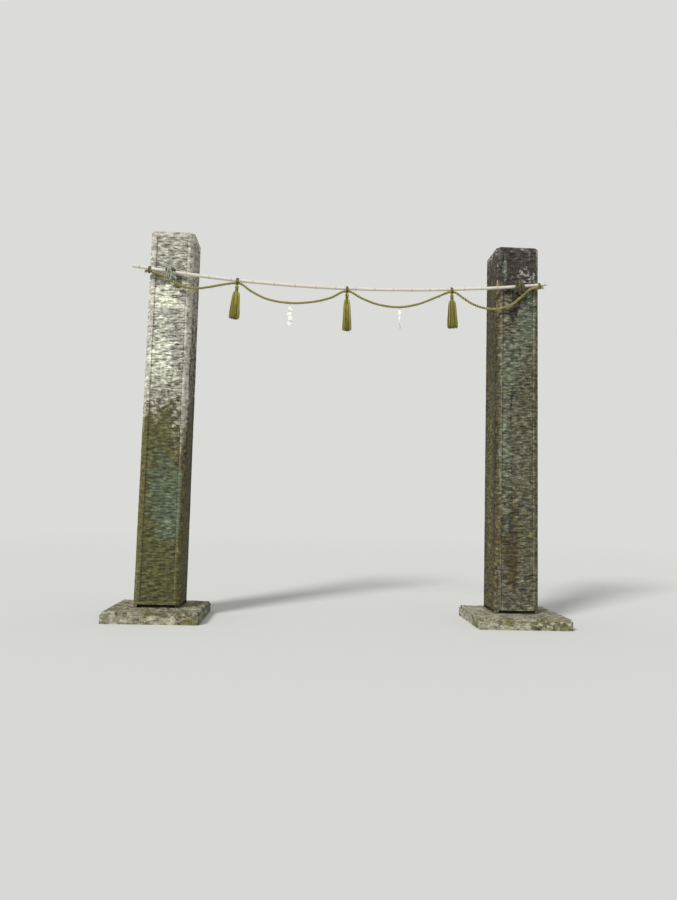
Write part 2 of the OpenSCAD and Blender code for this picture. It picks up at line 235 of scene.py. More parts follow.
def sweep(path: Array, outline: Array, hint: Vector, ahead: Array | None = None) -> Array:
    """Carries an outline along a path, or a stack of outlines along a stack of paths.

    A point of the surface is the path's point plus the outline's two parts along two directions
    square to the path: the first is the path's direction crossed with the hint, and the second is
    the path's direction crossed with the first.

    Args:
        path: (..., rings, 3) places.
        outline: (..., rings, sides, 2) points, anticlockwise about the path's direction.
        hint: a direction that the path never follows.
        ahead: the path's direction at each place, where it isn't the way to the next place.

    Returns:
        (..., rings, sides, 3) places.
    """
    ahead = unit(np.gradient(path, axis=-2)) if ahead is None else unit(ahead)
    first = unit(np.cross(ahead, hint))
    second = np.cross(ahead, first)
    return (path[..., None, :] + outline[..., :1] * first[..., None, :]
            + outline[..., 1:] * second[..., None, :])


def on_circle(angle: Array) -> Array:
    """The points at those angles on a circle with radius 1: their cosines and sines."""
    return np.stack([np.cos(angle), np.sin(angle)], axis=-1)


def circles(radii: Array | float, sides: int) -> Array:
    """The points of circles, one of each radius: (..., sides, 2)."""
    return np.asarray(radii)[..., None, None] * on_circle(np.arange(sides) * TURN / sides)


def around(ahead: Array, angle: Array, hint: Vector) -> Array:
    """The directions square to ahead, at those angles from its cross product with the hint."""
    side = unit(np.cross(ahead, hint))
    return np.cos(angle) * side + np.sin(angle) * np.cross(ahead, side)


def drooping(start: Array, way: Array, length: Array, drop: float) -> Array:
    """The lines of short straws.

    The point at share t is the start plus t times the length along the way, less the drop times
    the length times t squared.

    Args:
        start: (straws, 3) places.
        way: (straws, 3) directions.
        length: (straws, 1, 1) lengths.
        drop: the share of its length that a straw sinks by.

    Returns:
        (straws, 5, 3) places.
    """
    t = np.linspace(0, 1, 5)[None, :, None]
    return start[:, None] + way[:, None] * t * length - np.array([0, 0, drop]) * t ** 2 * length


def placed(name: str, data: bpy.types.ID) -> bpy.types.Object:
    """Makes an object that shows a mesh, lamp or camera, and links it to the scene."""
    made = bpy.data.objects.new(name, data)
    bpy.context.scene.collection.objects.link(made)
    return made


@dataclass
class Draft:
    """The points, faces and point values of one mesh while it is put together from tubes."""

    points: list[Array] = field(default_factory=list)
    faces: list[Array] = field(default_factory=list)
    values: dict[str, list[Array]] = field(default_factory=dict)
    count: int = 0

    def tube(self, points: Array, **values: Array | float) -> None:
        """Adds a closed tube, or a stack of tubes, as rows of four-cornered faces and two ends.

        Args:
            points: (..., rows, columns, 3). The columns run anticlockwise about the direction in
                which the rows follow each other, so that the faces look outwards.
            **values: a number for every point, or a vector where the name is "straight", in a
                shape that fits the points.
        """
        rows, columns = points.shape[-3:-1]
        index = np.arange(rows * columns).reshape(rows, columns)
        beside = np.roll(index, -1, axis=1)
        cells = np.stack([index[:-1], beside[:-1], beside[1:], index[1:]], axis=-1).reshape(-1, 4)
        starts = np.arange(points.size // (3 * rows * columns))[:, None, None] * (rows * columns)
        ends = np.stack([index[0, ::-1], index[-1]])
        self.faces += [(starts + self.count + part).reshape(-1, part.shape[1])
                       for part in (cells, ends)]
        self.points.append(points.reshape(-1, 3))
        self.count += len(self.points[-1])
        for name, value in values.items():
            width = (3,) if name == "straight" else ()
            full = np.broadcast_to(value, points.shape[:-1] + width)
            self.values.setdefault(name, []).append(full.reshape((-1,) + width))

    def rope(self, path: Array, diameter: Array | float, lay: float, strands: int, sides: int,
             hint: Vector, tone: float, valley: float = 0.45) -> None:
        """Adds a laid rope along a path.

        The outline is the outer edge of equal circles that touch each other round the centre, and
        it turns once in each lay. Its columns turn with it, so that one runs along every valley.
        Each point keeps where it would lie if the rope were pulled straight along Z, and a tone
        that falls off into the valleys: painted shade between the strands.

        Args:
            path: (rings, 3) places.
            diameter: the rope's diameter over its strands, one value or one for each place.
            lay: the length of one full turn.
            strands: the number of strands.
            sides: points round the rope, a multiple of twice the strands.
            hint: a direction that the path never follows.
            tone: the shade of its straws, from 0 for dark to 1 for light.
            valley: the least share of the radius that the outline keeps between two strands.
        """
        spread = math.sin(math.pi / strands)
        strand = spread / (1 + spread)
        angle = np.arange(sides) * TURN / sides
        local = (angle + math.pi / strands) % (TURN / strands) - math.pi / strands
        inner = np.maximum(strand ** 2 - ((1 - strand) * np.sin(local)) ** 2, 0)
        reach = np.maximum((1 - strand) * np.cos(local) + np.sqrt(inner), valley)
        run = run_length(path)
        turned = angle + TURN * run[:, None] / lay
        radius = np.broadcast_to(np.asarray(diameter) / 2, run.shape)[:, None, None]
        circle = radius * on_circle(turned)
        # Painted shade: the tone drops by up to 1.3 towards the valleys between the strands.
        crown = ease((reach - 0.6) / 0.4)
        self.tube(sweep(path, circle * reach[:, None], hint),
                  straight=extended(circle, run[:, None, None]), stalk=tone - 1.3 * (1 - crown))

    def straws(self, lines: Array, radii: Array, stalk: Array, hint: Vector = OFF_STRAWS,
               squeeze: float = 0.3) -> None:
        """Adds straws with three sides.

        Args:
            lines: (straws, rings, 3) places.
            radii: (straws, rings) radii.
            stalk: the shade of each straw, in a shape that fits (straws, rings, 3 sides).
            hint: a direction that no straw follows.
            squeeze: how much the pattern's places are drawn together, which makes it coarser.
        """
        self.tube(sweep(lines, circles(radii, 3), hint), straight=lines[:, :, None] * squeeze,
                  stalk=stalk)

    def fray(self, start: Array, ahead: Array, spread: float, width: float, length: float,
             count: int, seed: int, thick: float = 0.0011) -> None:
        """Adds the loose straws of a cut rope end.

        A straw starts at a random place on a disc square to the rope. Its point at share t is the
        start plus t times its length along the rope's direction mixed with a random one, less a
        drop that grows with t squared.

        Args:
            start: the end of the rope.
            ahead: the direction that the rope ends in.
            spread: how much of a random direction is mixed in.
            width: the diameter of the disc.
            length: the longest straw.
            count: the number of straws.
            seed: picks the set of random values.
            thick: the radius of a straw at its start.
        """
        random = np.random.default_rng(seed)
        ahead = unit(np.asarray(ahead, float))
        angle = random.uniform(0, TURN, (count, 1))
        off = np.sqrt(random.uniform(0, 1, (count, 1)))
        out = around(ahead, angle, (0.3, 0.9, 0.31))
        way = unit(ahead + spread * (off * out + random.normal(0, 0.25, (count, 3))))
        long = length * random.uniform(0.4, 1, (count, 1, 1))
        line = drooping(start + 0.5 * width * off * out, way, long, 0.3)
        radius = np.linspace(1, 0.5, 5) * thick * random.uniform(0.7, 1.2, (count, 1))
        self.straws(line, radius, random.uniform(0, 1, (count, 1, 1)))

    def mesh(self, name: str, crease: float) -> bpy.types.Object:
        """Makes the object.

        Args:
            name: the object's and the mesh's name.
            crease: the least angle of an edge that stays sharp, in degrees.

        Returns:
            The new object, smooth apart from its sharp edges.
        """
        made = bpy.data.meshes.new(name)
        corners = np.concatenate([f.ravel() for f in self.faces]).astype(np.int32)
        sizes = np.concatenate([np.full(len(f), f.shape[1]) for f in self.faces])
        made.vertices.add(self.count)
        made.vertices.foreach_set("co", np.concatenate(self.points).astype(np.float32).ravel())
        made.loops.add(len(corners))
        made.loops.foreach_set("vertex_index", corners)
        made.polygons.add(len(sizes))
        made.polygons.foreach_set("loop_start", (np.cumsum(sizes) - sizes).astype(np.int32))
        made.update(calc_edges=True)
        for key, parts in self.values.items():
            whole = np.concatenate(parts).astype(np.float32)
            kind, entry = ("FLOAT", "value") if whole.ndim == 1 else ("FLOAT_VECTOR", "vector")
            layer = made.attributes.new(name=key, type=kind, domain="POINT")
            layer.data.foreach_set(entry, whole.ravel())
        made.shade_smooth()
        made.set_sharp_from_angle(angle=math.radians(crease))
        return placed(name, made)


def hand_over(draft: Draft, name: str, skin: Material,
              nodes: tuple[str, ...] = (), crease: float = 75.0) -> bpy.types.Object:
    """Makes a drafted piece, dresses it, and puts it on the frame in the place of CAD nodes.

    Args:
        draft: the piece's points and faces.
        name: the piece's name.
        skin: the material it shows.
        nodes: the CAD nodes that it stands for.
        crease: the least angle of an edge that stays sharp, in degrees.

    Returns:
        The new object.
    """
    piece = draft.mesh(name, crease)
    piece.data.materials.append(skin)
    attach(piece, BODY)
    if nodes:
        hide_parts(*nodes)
    LOG.info("%s: %d triangles", name, sum(len(p.vertices) - 2 for p in piece.data.polygons))
    return piece


class Desk:
    """Adds nodes to a new material or world."""

    def __init__(self, owner: Material | bpy.types.World) -> None:
        """Clears the owner's nodes.

        Args:
            owner: the material or world that the nodes are for.
        """
        owner.use_nodes = True
        self.owner = owner
        self.tree = owner.node_tree
        self.tree.nodes.clear()

    def add(self, kind: str, inputs: dict[str | int, object] | None = None, out: str | int = 0,
            **settings: object) -> Socket | None:
        """Adds a node with its settings and links.

        Args:
            kind: the node's type, without the words ShaderNode.
            inputs: a socket to link, or a plain value, for each input named or numbered.
            out: which output is given back.
            **settings: the node's own settings.

        Returns:
            The output asked for.
        """
        node = self.tree.nodes.new("ShaderNode" + kind)
        for key, value in settings.items():
            setattr(node, key, value)
        for key, value in (inputs or {}).items():
            if isinstance(value, Socket):
                self.tree.links.new(value, node.inputs[key])
            else:
                node.inputs[key].default_value = value
        return node.outputs[out] if len(node.outputs) else None


@dataclass(frozen=True)
class Finish:
    """A finish as a maker would name it. Each kind fills in dress()."""

    name: str

    def dress(self, desk: Desk) -> dict[str, object]:
        """The inputs of the surface shader: sockets, or plain values where it is uniform."""
        raise NotImplementedError

    def material(self) -> Material:
        """Builds the material.

        Returns:
            The material, named as the finish.
        """
        desk = Desk(bpy.data.materials.new(self.name))
        surface = desk.add("BsdfPrincipled", self.dress(desk))
        desk.add("OutputMaterial", {"Surface": surface})
        return desk.owner

@dataclass(frozen=True)
class WeatheredGranite(Finish):
    """Biotite granite, dressed with a point, after a century in damp shade.

    Feldspar, quartz and mica grains of 3 to 5 mm lie in ripples of about 85 by 26 mm that have
    weathered light or dark. Fine marks of the point, 55 by 15 mm, and the grooves that the mesh
    marks go dark, with dirt and painted shade. Each film covers as large a share of the stone as
    the mesh says, in blots of 45 mm and less.
    """

    stone: str = "#b2afa1"
    steeped: str = "#6d6848"
    grain_light: str = "#cdc8b6"
    grain_dark: str = "#48453c"
    # Dirt, and painted shade in marks, grooves, along the panels' lip and in the foot openings.
    dirt_and_shade: str = "#29251a"
    earth: str = "#514722"
    algae: str = "#595935"
    lichen: str = "#5f6c55"
    soot: str = "#3d3431"
    moss: str = "#605d30"
    pale: str = "#e4e5cf"
    contrast: float = 0.58
    mark_depth: float = 0.0024

    def grains(self, desk: Desk, place: Socket) -> Socket:
        """The bare stone, steeped where it is damp, with light grains and dark mica in it.

        Args:
            desk: takes the nodes.
            place: the Object coordinates.

        Returns:
            The colour.
        """
        cells = desk.add("TexVoronoi", {"Vector": place, "Scale": 260.0}, out="Color")
        grain = desk.add("SeparateColor", {"Color": cells})
        damp = desk.add("Attribute", attribute_name="damp", out="Fac")
        speck = desk.add("MapRange", {"Value": grain, "From Min": 0.72, "From Max": 0.8,
                                      "To Max": 0.34})
        mica = desk.add("MapRange", {"Value": grain, "From Min": 0.2, "From Max": 0.12,
                                     "To Max": 0.42})
        colour = linear(self.stone)
        for share, tint in ((damp, self.steeped), (speck, self.grain_light),
                            (mica, self.grain_dark)):
            colour = desk.add("Mix", {SHARE: share, UNDER: colour, OVER: linear(tint)}, out=MIXED,
                              data_type="RGBA")
        return colour

    def shading(self, desk: Desk, crumbs: Socket, groove: Socket, blot: Socket) -> Socket:
        """How light the stone is: crumbs and blots, and painted shade in the grooves, multiplied.

        Args:
            desk: takes the nodes.
            crumbs: the noise of the ripples.
            groove: how deep a place lies in a stroke or gap.
            blot: the noise of wide light and dark places.

        Returns:
            The factor for the stone's colour.
        """
        light = desk.add("MapRange", {"Value": crumbs, "From Min": USUAL[0], "From Max": USUAL[1],
                                      "To Min": 1 - self.contrast, "To Max": 1 + self.contrast},
                         clamp=False)
        # Painted shade and highlight: down to half as light in a groove, a little lighter outside
        # it.
        ridge = desk.add("MapRange", {"Value": groove, "From Max": 0.8, "To Min": 1.06,
                                      "To Max": 0.5})
        blotched = desk.add("MapRange", {"Value": blot, "From Min": USUAL[0], "From Max": USUAL[1],
                                         "To Min": 1 + 0.6 * self.contrast,
                                         "To Max": 1 - 0.6 * self.contrast})
        for factor in (ridge, blotched):
            light = desk.add("Math", {0: light, 1: factor}, operation="MULTIPLY")
        return light

    def films(self, desk: Desk, colour: Socket, light: Socket, blots: Sequence[Socket]) -> Socket:
        """Lays the films over the stone, the later ones over the earlier ones.

        A film covers a place where 1.3 times its share there, plus one of three noises or the
        reverse of one, passes 1.

        Args:
            desk: takes the nodes.
            colour: the stone's colour.
            light: the factor that grains, ripples and the painted groove shade darken the films by.
            blots: three noises.

        Returns:
            The colour with the films on it.
        """
        tints = [(Film.EARTH, self.earth), (Film.ALGAE, self.algae), (Film.SOOT, self.soot),
                 (Film.LICHEN, self.lichen), (Film.MOSS, self.moss), (Film.PALE, self.pale)]
        for number, (film, tint) in enumerate(tints):
            low, high = USUAL if number < 3 else USUAL[::-1]
            blot = desk.add("MapRange", {"Value": blots[number % 3], "From Min": low,
                                         "From Max": high})
            share = desk.add("Attribute", attribute_name=film.value, out="Fac")
            cover = desk.add("Math", {0: share, 1: 1.3, 2: blot}, operation="MULTIPLY_ADD")
            cover = desk.add("MapRange", {"Value": cover, "From Min": 1.0, "From Max": 1.5,
                                          "To Max": 0.9}, interpolation_type="SMOOTHSTEP")
            own = desk.add("VectorMath", {0: linear(tint)[:3], "Scale": light}, operation="SCALE")
            colour = desk.add("Mix", {SHARE: cover, UNDER: colour, OVER: own}, out=MIXED,
                              data_type="RGBA")
        return colour

    def marks(self, desk: Desk, place: Socket) -> Socket:
        """The fine marks of the point, as strong as the mesh says.

        They lie along x plus y, which runs across any face of a post, and slope a little.

        Args:
            desk: takes the nodes.
            place: the Object coordinates.

        Returns:
            How deep a place lies in a mark, from 0 to 1.
        """
        x = desk.add("SeparateXYZ", {"Vector": place})
        across = desk.add("Math", {0: x, 1: x.node.outputs[1]}, operation="ADD")
        slope = desk.add("Math", {0: across, 1: 0.16, 2: x.node.outputs[2]},
                         operation="MULTIPLY_ADD")
        flat = desk.add("CombineXYZ", {"X": across, "Y": slope})
        flat = desk.add("VectorMath", {0: flat, 1: (18.0, 66.0, 1.0)}, operation="MULTIPLY")
        marks = desk.add("TexNoise", {"Vector": flat, "Scale": 1.0, "Detail": 3.0,
                                      "Distortion": 0.5}, noise_dimensions="2D")
        marks = desk.add("MapRange", {"Value": marks, "From Min": 0.5, "From Max": 0.33})
        tooled = desk.add("Attribute", attribute_name="tooled", out="Fac")
        return desk.add("Math", {0: marks, 1: tooled}, operation="MULTIPLY")

    def dress(self, desk: Desk) -> dict[str, object]:
        """Lays grains, ripples, films, and dirt with painted shade, over each other, oldest first.

        Args:
            desk: takes the nodes.

        Returns:
            The surface shader's inputs.
        """
        place = desk.add("TexCoord", out="Object")
        blots = desk.add("TexNoise", {"Vector": place, "Scale": 22.0, "Detail": 7.0,
                                      "Roughness": 0.66}, out="Color")
        blots = desk.add("SeparateColor", {"Color": blots}).node.outputs
        level = desk.add("VectorMath", {0: place, 1: (12.0, 12.0, 38.0)}, operation="MULTIPLY")
        crumbs = desk.add("TexNoise", {"Vector": level, "Scale": 1.0, "Detail": 6.0,
                                       "Roughness": 0.66})
        groove = desk.add("Attribute", attribute_name="groove", out="Fac")
        light = self.shading(desk, crumbs, groove, blots[1])
        colour = desk.add("VectorMath", {0: self.grains(desk, place), "Scale": light},
                          operation="SCALE")
        colour = self.films(desk, colour, light, blots)
        marks = self.marks(desk, place)
        # Dirt and painted shade: marks and grooves go towards the dark colour.
        dirt_and_shade = desk.add("Math", {0: marks, 1: 0.55, 2: groove}, operation="MULTIPLY_ADD",
                        use_clamp=True)
        dirt_and_shade = desk.add("Math", {0: dirt_and_shade, 1: 0.74}, operation="MULTIPLY")
        colour = desk.add("Mix", {SHARE: dirt_and_shade, UNDER: colour, OVER: linear(self.dirt_and_shade)}, out=MIXED,
                          data_type="RGBA")
        grit = desk.add("Math", {0: crumbs, 1: -0.5, 2: marks}, operation="MULTIPLY_ADD")
        relief = desk.add("Bump", {"Height": grit, "Strength": 1.0, "Distance": self.mark_depth},
                          invert=True)
        fine = desk.add("TexNoise", {"Vector": place, "Scale": 420.0, "Detail": 3.0})
        relief = desk.add("Bump", {"Height": fine, "Strength": 0.6, "Distance": 0.0008,
                                   "Normal": relief})
        return {"Base Color": colour, "Roughness": 0.86, "Normal": relief,
                "Specular IOR Level": 0.35}


@dataclass(frozen=True)
class BleachedBamboo(Finish):
    """Timber bamboo culm, cut green and left in the sun: the wax is gone, the skin is bone pale.

    Fibre bundles about 2 mm apart run along the culm and hold grey mildew. Each joint has a dark
    scar below its ring.
    """

    skin: str = "#dbd6ca"
    fibre: str = "#b9b2a0"
    mildew: str = "#8b877b"
    scar: str = "#5b4d38"

    def dress(self, desk: Desk) -> dict[str, object]:
        """Draws fibres and mildew along the culm, and scars at its joints.

        Args:
            desk: takes the nodes.

        Returns:
            The surface shader's inputs.
        """
        place = desk.add("Attribute", attribute_name="straight", out="Vector")
        drawn = desk.add("VectorMath", {0: place, 1: (520.0, 520.0, 9.0)}, operation="MULTIPLY")
        fibres = desk.add("TexNoise", {"Vector": drawn, "Scale": 1.0, "Detail": 3.0})
        streaks = desk.add("MapRange", {"Value": fibres, "From Min": 0.42, "From Max": 0.72,
                                        "To Max": 0.75})
        wide = desk.add("VectorMath", {0: place, 1: (55.0, 55.0, 5.0)}, operation="MULTIPLY")
        patches = desk.add("TexNoise", {"Vector": wide, "Scale": 1.0, "Detail": 6.0,
                                        "Roughness": 0.7})
        grey = desk.add("MapRange", {"Value": patches, "From Min": 0.52, "From Max": 0.78,
                                     "To Max": 0.6})
        scarred = desk.add("Attribute", attribute_name="scar", out="Fac")
        colour = linear(self.skin)
        for share, tint in ((streaks, self.fibre), (grey, self.mildew), (scarred, self.scar)):
            colour = desk.add("Mix", {SHARE: share, UNDER: colour, OVER: linear(tint)}, out=MIXED,
                              data_type="RGBA")
        relief = desk.add("Bump", {"Height": fibres, "Strength": 0.7, "Distance": 0.0005})
        rough = desk.add("MapRange", {"Value": patches, "To Min": 0.42, "To Max": 0.66})
        return {"Base Color": colour, "Roughness": rough, "Normal": relief}


@dataclass(frozen=True)
class RiceStraw(Finish):
    """Rice straw, dried green and twisted or bundled: each stalk its own shade of olive and gold.

    Stalks are about 2.5 mm wide. The streaks are drawn along the way that the piece would lie if
    it were pulled straight, so they follow every turn.
    """

    # deep: dark straws, and the painted shade in the valleys of a laid rope
    deep: str = "#3a3417"
    body: str = "#a0964a"
    light: str = "#d2cb82"
    stalk: float = 0.0025

    def dress(self, desk: Desk) -> dict[str, object]:
        """Gives each stalk a shade, with fine ribs along it. Where the tone is low in a rope's
        valleys, the deep colour is painted shade.

        Args:
            desk: takes the nodes.

        Returns:
            The surface shader's inputs.
        """
        place = desk.add("Attribute", attribute_name="straight", out="Vector")
        own = desk.add("Attribute", attribute_name="stalk", out="Fac")
        across = 0.7 / self.stalk
        drawn = desk.add("VectorMath", {0: place, 1: (across, across, 14.0)}, operation="MULTIPLY")
        stalks = desk.add("TexNoise", {"Vector": drawn, "Scale": 1.0, "Detail": 4.0,
                                       "Roughness": 0.65})
        tone = desk.add("Math", {0: own, 1: 0.55, 2: stalks}, operation="MULTIPLY_ADD")
        dark = desk.add("MapRange", {"Value": tone, "From Min": 0.72, "From Max": 0.4})
        bright = desk.add("MapRange", {"Value": tone, "From Min": 0.76, "From Max": 1.08})
        colour = linear(self.body)
        for share, tint in ((dark, self.deep), (bright, self.light)):
            colour = desk.add("Mix", {SHARE: share, UNDER: colour, OVER: linear(tint)}, out=MIXED,
                              data_type="RGBA")
        relief = desk.add("Bump", {"Height": stalks, "Strength": 0.9, "Distance": 0.0012})
        return {"Base Color": colour, "Roughness": 0.62, "Normal": relief, "Sheen Weight": 0.12}


@dataclass(frozen=True)
class RustedIron(Finish):
    """Forged iron, never painted: brown scale with orange rust where water stands."""

    scale_brown: str = "#3b2f29"
    rust: str = "#7d4a27"

    def dress(self, desk: Desk) -> dict[str, object]:
        """Mixes scale and rust in patches of about 8 mm.

        Args:
            desk: takes the nodes.

        Returns:
            The surface shader's inputs.
        """
        place = desk.add("TexCoord", out="Object")
        patches = desk.add("TexNoise", {"Vector": place, "Scale": 120.0, "Detail": 6.0,
                                        "Roughness": 0.7})
        share = desk.add("MapRange", {"Value": patches, "From Min": 0.45, "From Max": 0.62})
        colour = desk.add("Mix", {SHARE: share, UNDER: linear(self.scale_brown),
                                  OVER: linear(self.rust)}, out=MIXED, data_type="RGBA")
        relief = desk.add("Bump", {"Height": patches, "Strength": 0.8, "Distance": 0.0006})
        rough = desk.add("MapRange", {"Value": patches, "To Min": 0.6, "To Max": 0.95})
        return {"Base Color": colour, "Roughness": rough, "Normal": relief, "Metallic": 0.35}


@dataclass(frozen=True)
class WhitePaper(Finish):
    """Handmade mulberry paper, folded: soft white with long fibres, greyed at the creases as
    painted shade.
    """

    sheet: str = "#f6f5f1"
    # Painted shade at the creases and on the turn backs behind the leaves.
    crease: str = "#a9a8a2"

    def dress(self, desk: Desk) -> dict[str, object]:
        """Draws fibres of about 0.4 mm, and greys the creases that the mesh marks as painted shade.

        Args:
            desk: takes the nodes.

        Returns:
            The surface shader's inputs.
        """
        place = desk.add("TexCoord", out="Object")
        fibres = desk.add("TexNoise", {"Vector": place, "Scale": 420.0, "Detail": 4.0,
                                       "Distortion": 1.2})
        fold = desk.add("Attribute", attribute_name="fold", out="Fac")
        grey = desk.add("Math", {0: fibres, 1: 0.25, 2: fold}, operation="MULTIPLY_ADD")
        share = desk.add("MapRange", {"Value": grey, "From Min": 0.12, "From Max": 1.2})
        colour = desk.add("Mix", {SHARE: share, UNDER: linear(self.sheet),
                                  OVER: linear(self.crease)}, out=MIXED, data_type="RGBA")
        relief = desk.add("Bump", {"Height": fibres, "Strength": 0.35, "Distance": 0.0003})
        return {"Base Color": colour, "Roughness": 0.8, "Normal": relief}


@dataclass
class BambooPole:
    """A culm bent by its own weight: straight internodes join points on a shallow arc.

    It tapers from the left to the right, has a double ring at every joint, a shallow channel over
    each joint on alternate sides where a branch grew, and open ends.
    """

    length: float = 5.050
    shift: float = 0.052
    lowest: float = 4.000
    bow: float = 0.165
    thick: float = 0.044
    thin: float = 0.035
    first_ring: float = 0.085
    internode: float = 0.280
    shorter: float = 0.0045
    last_room: float = 0.0275
    most_joints: int = 31
    ring_rise: float = 0.0022
    ring_reach: float = 0.008
    channel_depth: float = 0.0011
    channel_run: float = 0.15
    uneven: float = 0.02
    wall: float = 0.006
    open_end: float = 0.022
    rows: int = 420
    sides: int = 32

    def __post_init__(self) -> None:
        """Places the joints: each internode is a little shorter than the one before it."""
        low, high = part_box("bamboo_pole")
        self.depth = (low.y + high.y) / 2
        self.start = -self.length / 2 - self.shift
        self.end = self.start + self.length
        k = np.arange(self.most_joints)
        x = self.start + self.first_ring + k * self.internode - self.shorter * k * (k - 1) / 2
        self.rings = x[x < self.end - self.last_room]
        self.stops = np.concatenate([[self.start], self.rings, [self.end]])

    def arc(self, x: Array) -> Array:
        """Height of the arc: its lowest point plus the sagitta at x of a circle with that bow."""
        radius = ((self.length / 2) ** 2 + self.bow ** 2) / (2 * self.bow)
        return self.lowest + radius - np.sqrt(radius ** 2 - np.asarray(x) ** 2)

    def height(self, x: Array | float) -> Array:
        """Height of the centre line: straight between one joint and the next."""
        return np.interp(x, self.stops, self.arc(self.stops))

    def slope(self, x: float) -> float:
        """The angle at which the pole rises towards the right at x."""
        bay = np.searchsorted(self.stops, x, side="right") - 1
        bay = int(np.clip(bay, 0, len(self.stops) - 2))
        return math.atan2(np.diff(self.arc(self.stops))[bay], np.diff(self.stops)[bay])

    def radius(self, x: Array | float) -> Array:
        """The pole tapers evenly from its thick end to its thin end."""
        share = (np.asarray(x) - self.start) / self.length
        return (self.thick - (self.thick - self.thin) * share) / 2

    def at(self, x: float, points: Array) -> Array:
        """Moves points to a place on the pole and turns them with its slope.

        Args:
            x: the place.
            points: their X runs along the pole and their Z is square to it.

        Returns:
            The points in the gate's frame.
        """
        angle = self.slope(x)
        turned = np.array([[math.cos(angle), 0, math.sin(angle)], ALONG_Y,
                           [-math.sin(angle), 0, math.cos(angle)]])
        return np.array([x, self.depth, float(self.height(x))]) + points @ turned

    def build(self, skin: Material) -> None:
        """Sweeps the culm's outline from inside one open end to inside the other.

        The radius is the tapered one, plus a rounded and a sharp ridge at each joint, less the
        channel and a slight unevenness. A ridge's height falls off as a bell curve.

        Args:
            skin: the culm's finish.
        """
        near = (self.rings[:, None] + np.linspace(-self.ring_reach, self.ring_reach, 15)).ravel()
        even = np.linspace(self.start, self.end, self.rows)
        even = even[np.abs(even[:, None] - self.rings).min(axis=1) > self.ring_reach + 0.001]
        outer = np.sort(np.concatenate([even, near]))
        gap = outer[:, None] - self.rings
        off = gap[np.arange(len(outer)), np.abs(gap).argmin(axis=1)][:, None]
        angle = np.arange(self.sides) * TURN / self.sides
        joint = np.searchsorted(self.rings, outer)
        past = np.clip(outer - self.stops[:-1][joint], 0, None)[:, None]
        side = np.cos(angle - joint[:, None] * math.pi - 0.4)
        channel = (self.channel_depth * ease((side - 0.78) / 0.2) * ease(past / 0.01)
                   * ease((self.channel_run - past) / 0.12))
        form = self.radius(outer)[:, None] - channel
        for share, middle, width in ((1.0, 0.0026, 0.0022), (0.7, -0.0030, 0.0010)):
            form = form + share * self.ring_rise * np.exp(-((off - middle) / width) ** 2)
        hollow = np.linspace(0, self.open_end, 5)
        inner = [np.broadcast_to(self.radius(x) - self.wall, (len(hollow), self.sides))
                 for x in (self.start, self.end)]
        form = np.concatenate([inner[0], form, inner[1]])
        x = np.concatenate([self.start + hollow[::-1], outer, self.end - hollow])
        path = np.stack([x, np.full(len(x), self.depth), self.height(x)], axis=1)
        ahead = np.array([[math.cos(self.slope(v)), 0, math.sin(self.slope(v))] for v in x])
        circle = circles(np.ones(len(x)), self.sides)
        along = x[:, None, None]
        unrolled = extended(0.02 * circle, along)[..., [2, 0, 1]]
        skin_noise = clouds(unrolled, (0.12, 0.02, 0.02), 7)
        form = (form * (1 - self.uneven * skin_noise))[..., None]
        scar = sum(dark * np.exp(-((off + below) / width) ** 2)
                   for dark, below, width in ((0.6, 0.0005, 0.0016), (0.2, 0.008, 0.006)))
        # The inside of each open end takes the dark scar colour at 0.7.
        cut = np.full((len(hollow), 1), 0.7)
        draft = Draft()
        draft.tube(sweep(path, circle * form, ALONG_Y, ahead),
                   scar=np.clip(np.concatenate([cut, scar, cut]), 0, 1),
                   straight=extended(circle * form, along))
        hand_over(draft, "culm_of_bamboo", skin, ("bamboo_pole",), crease=40)


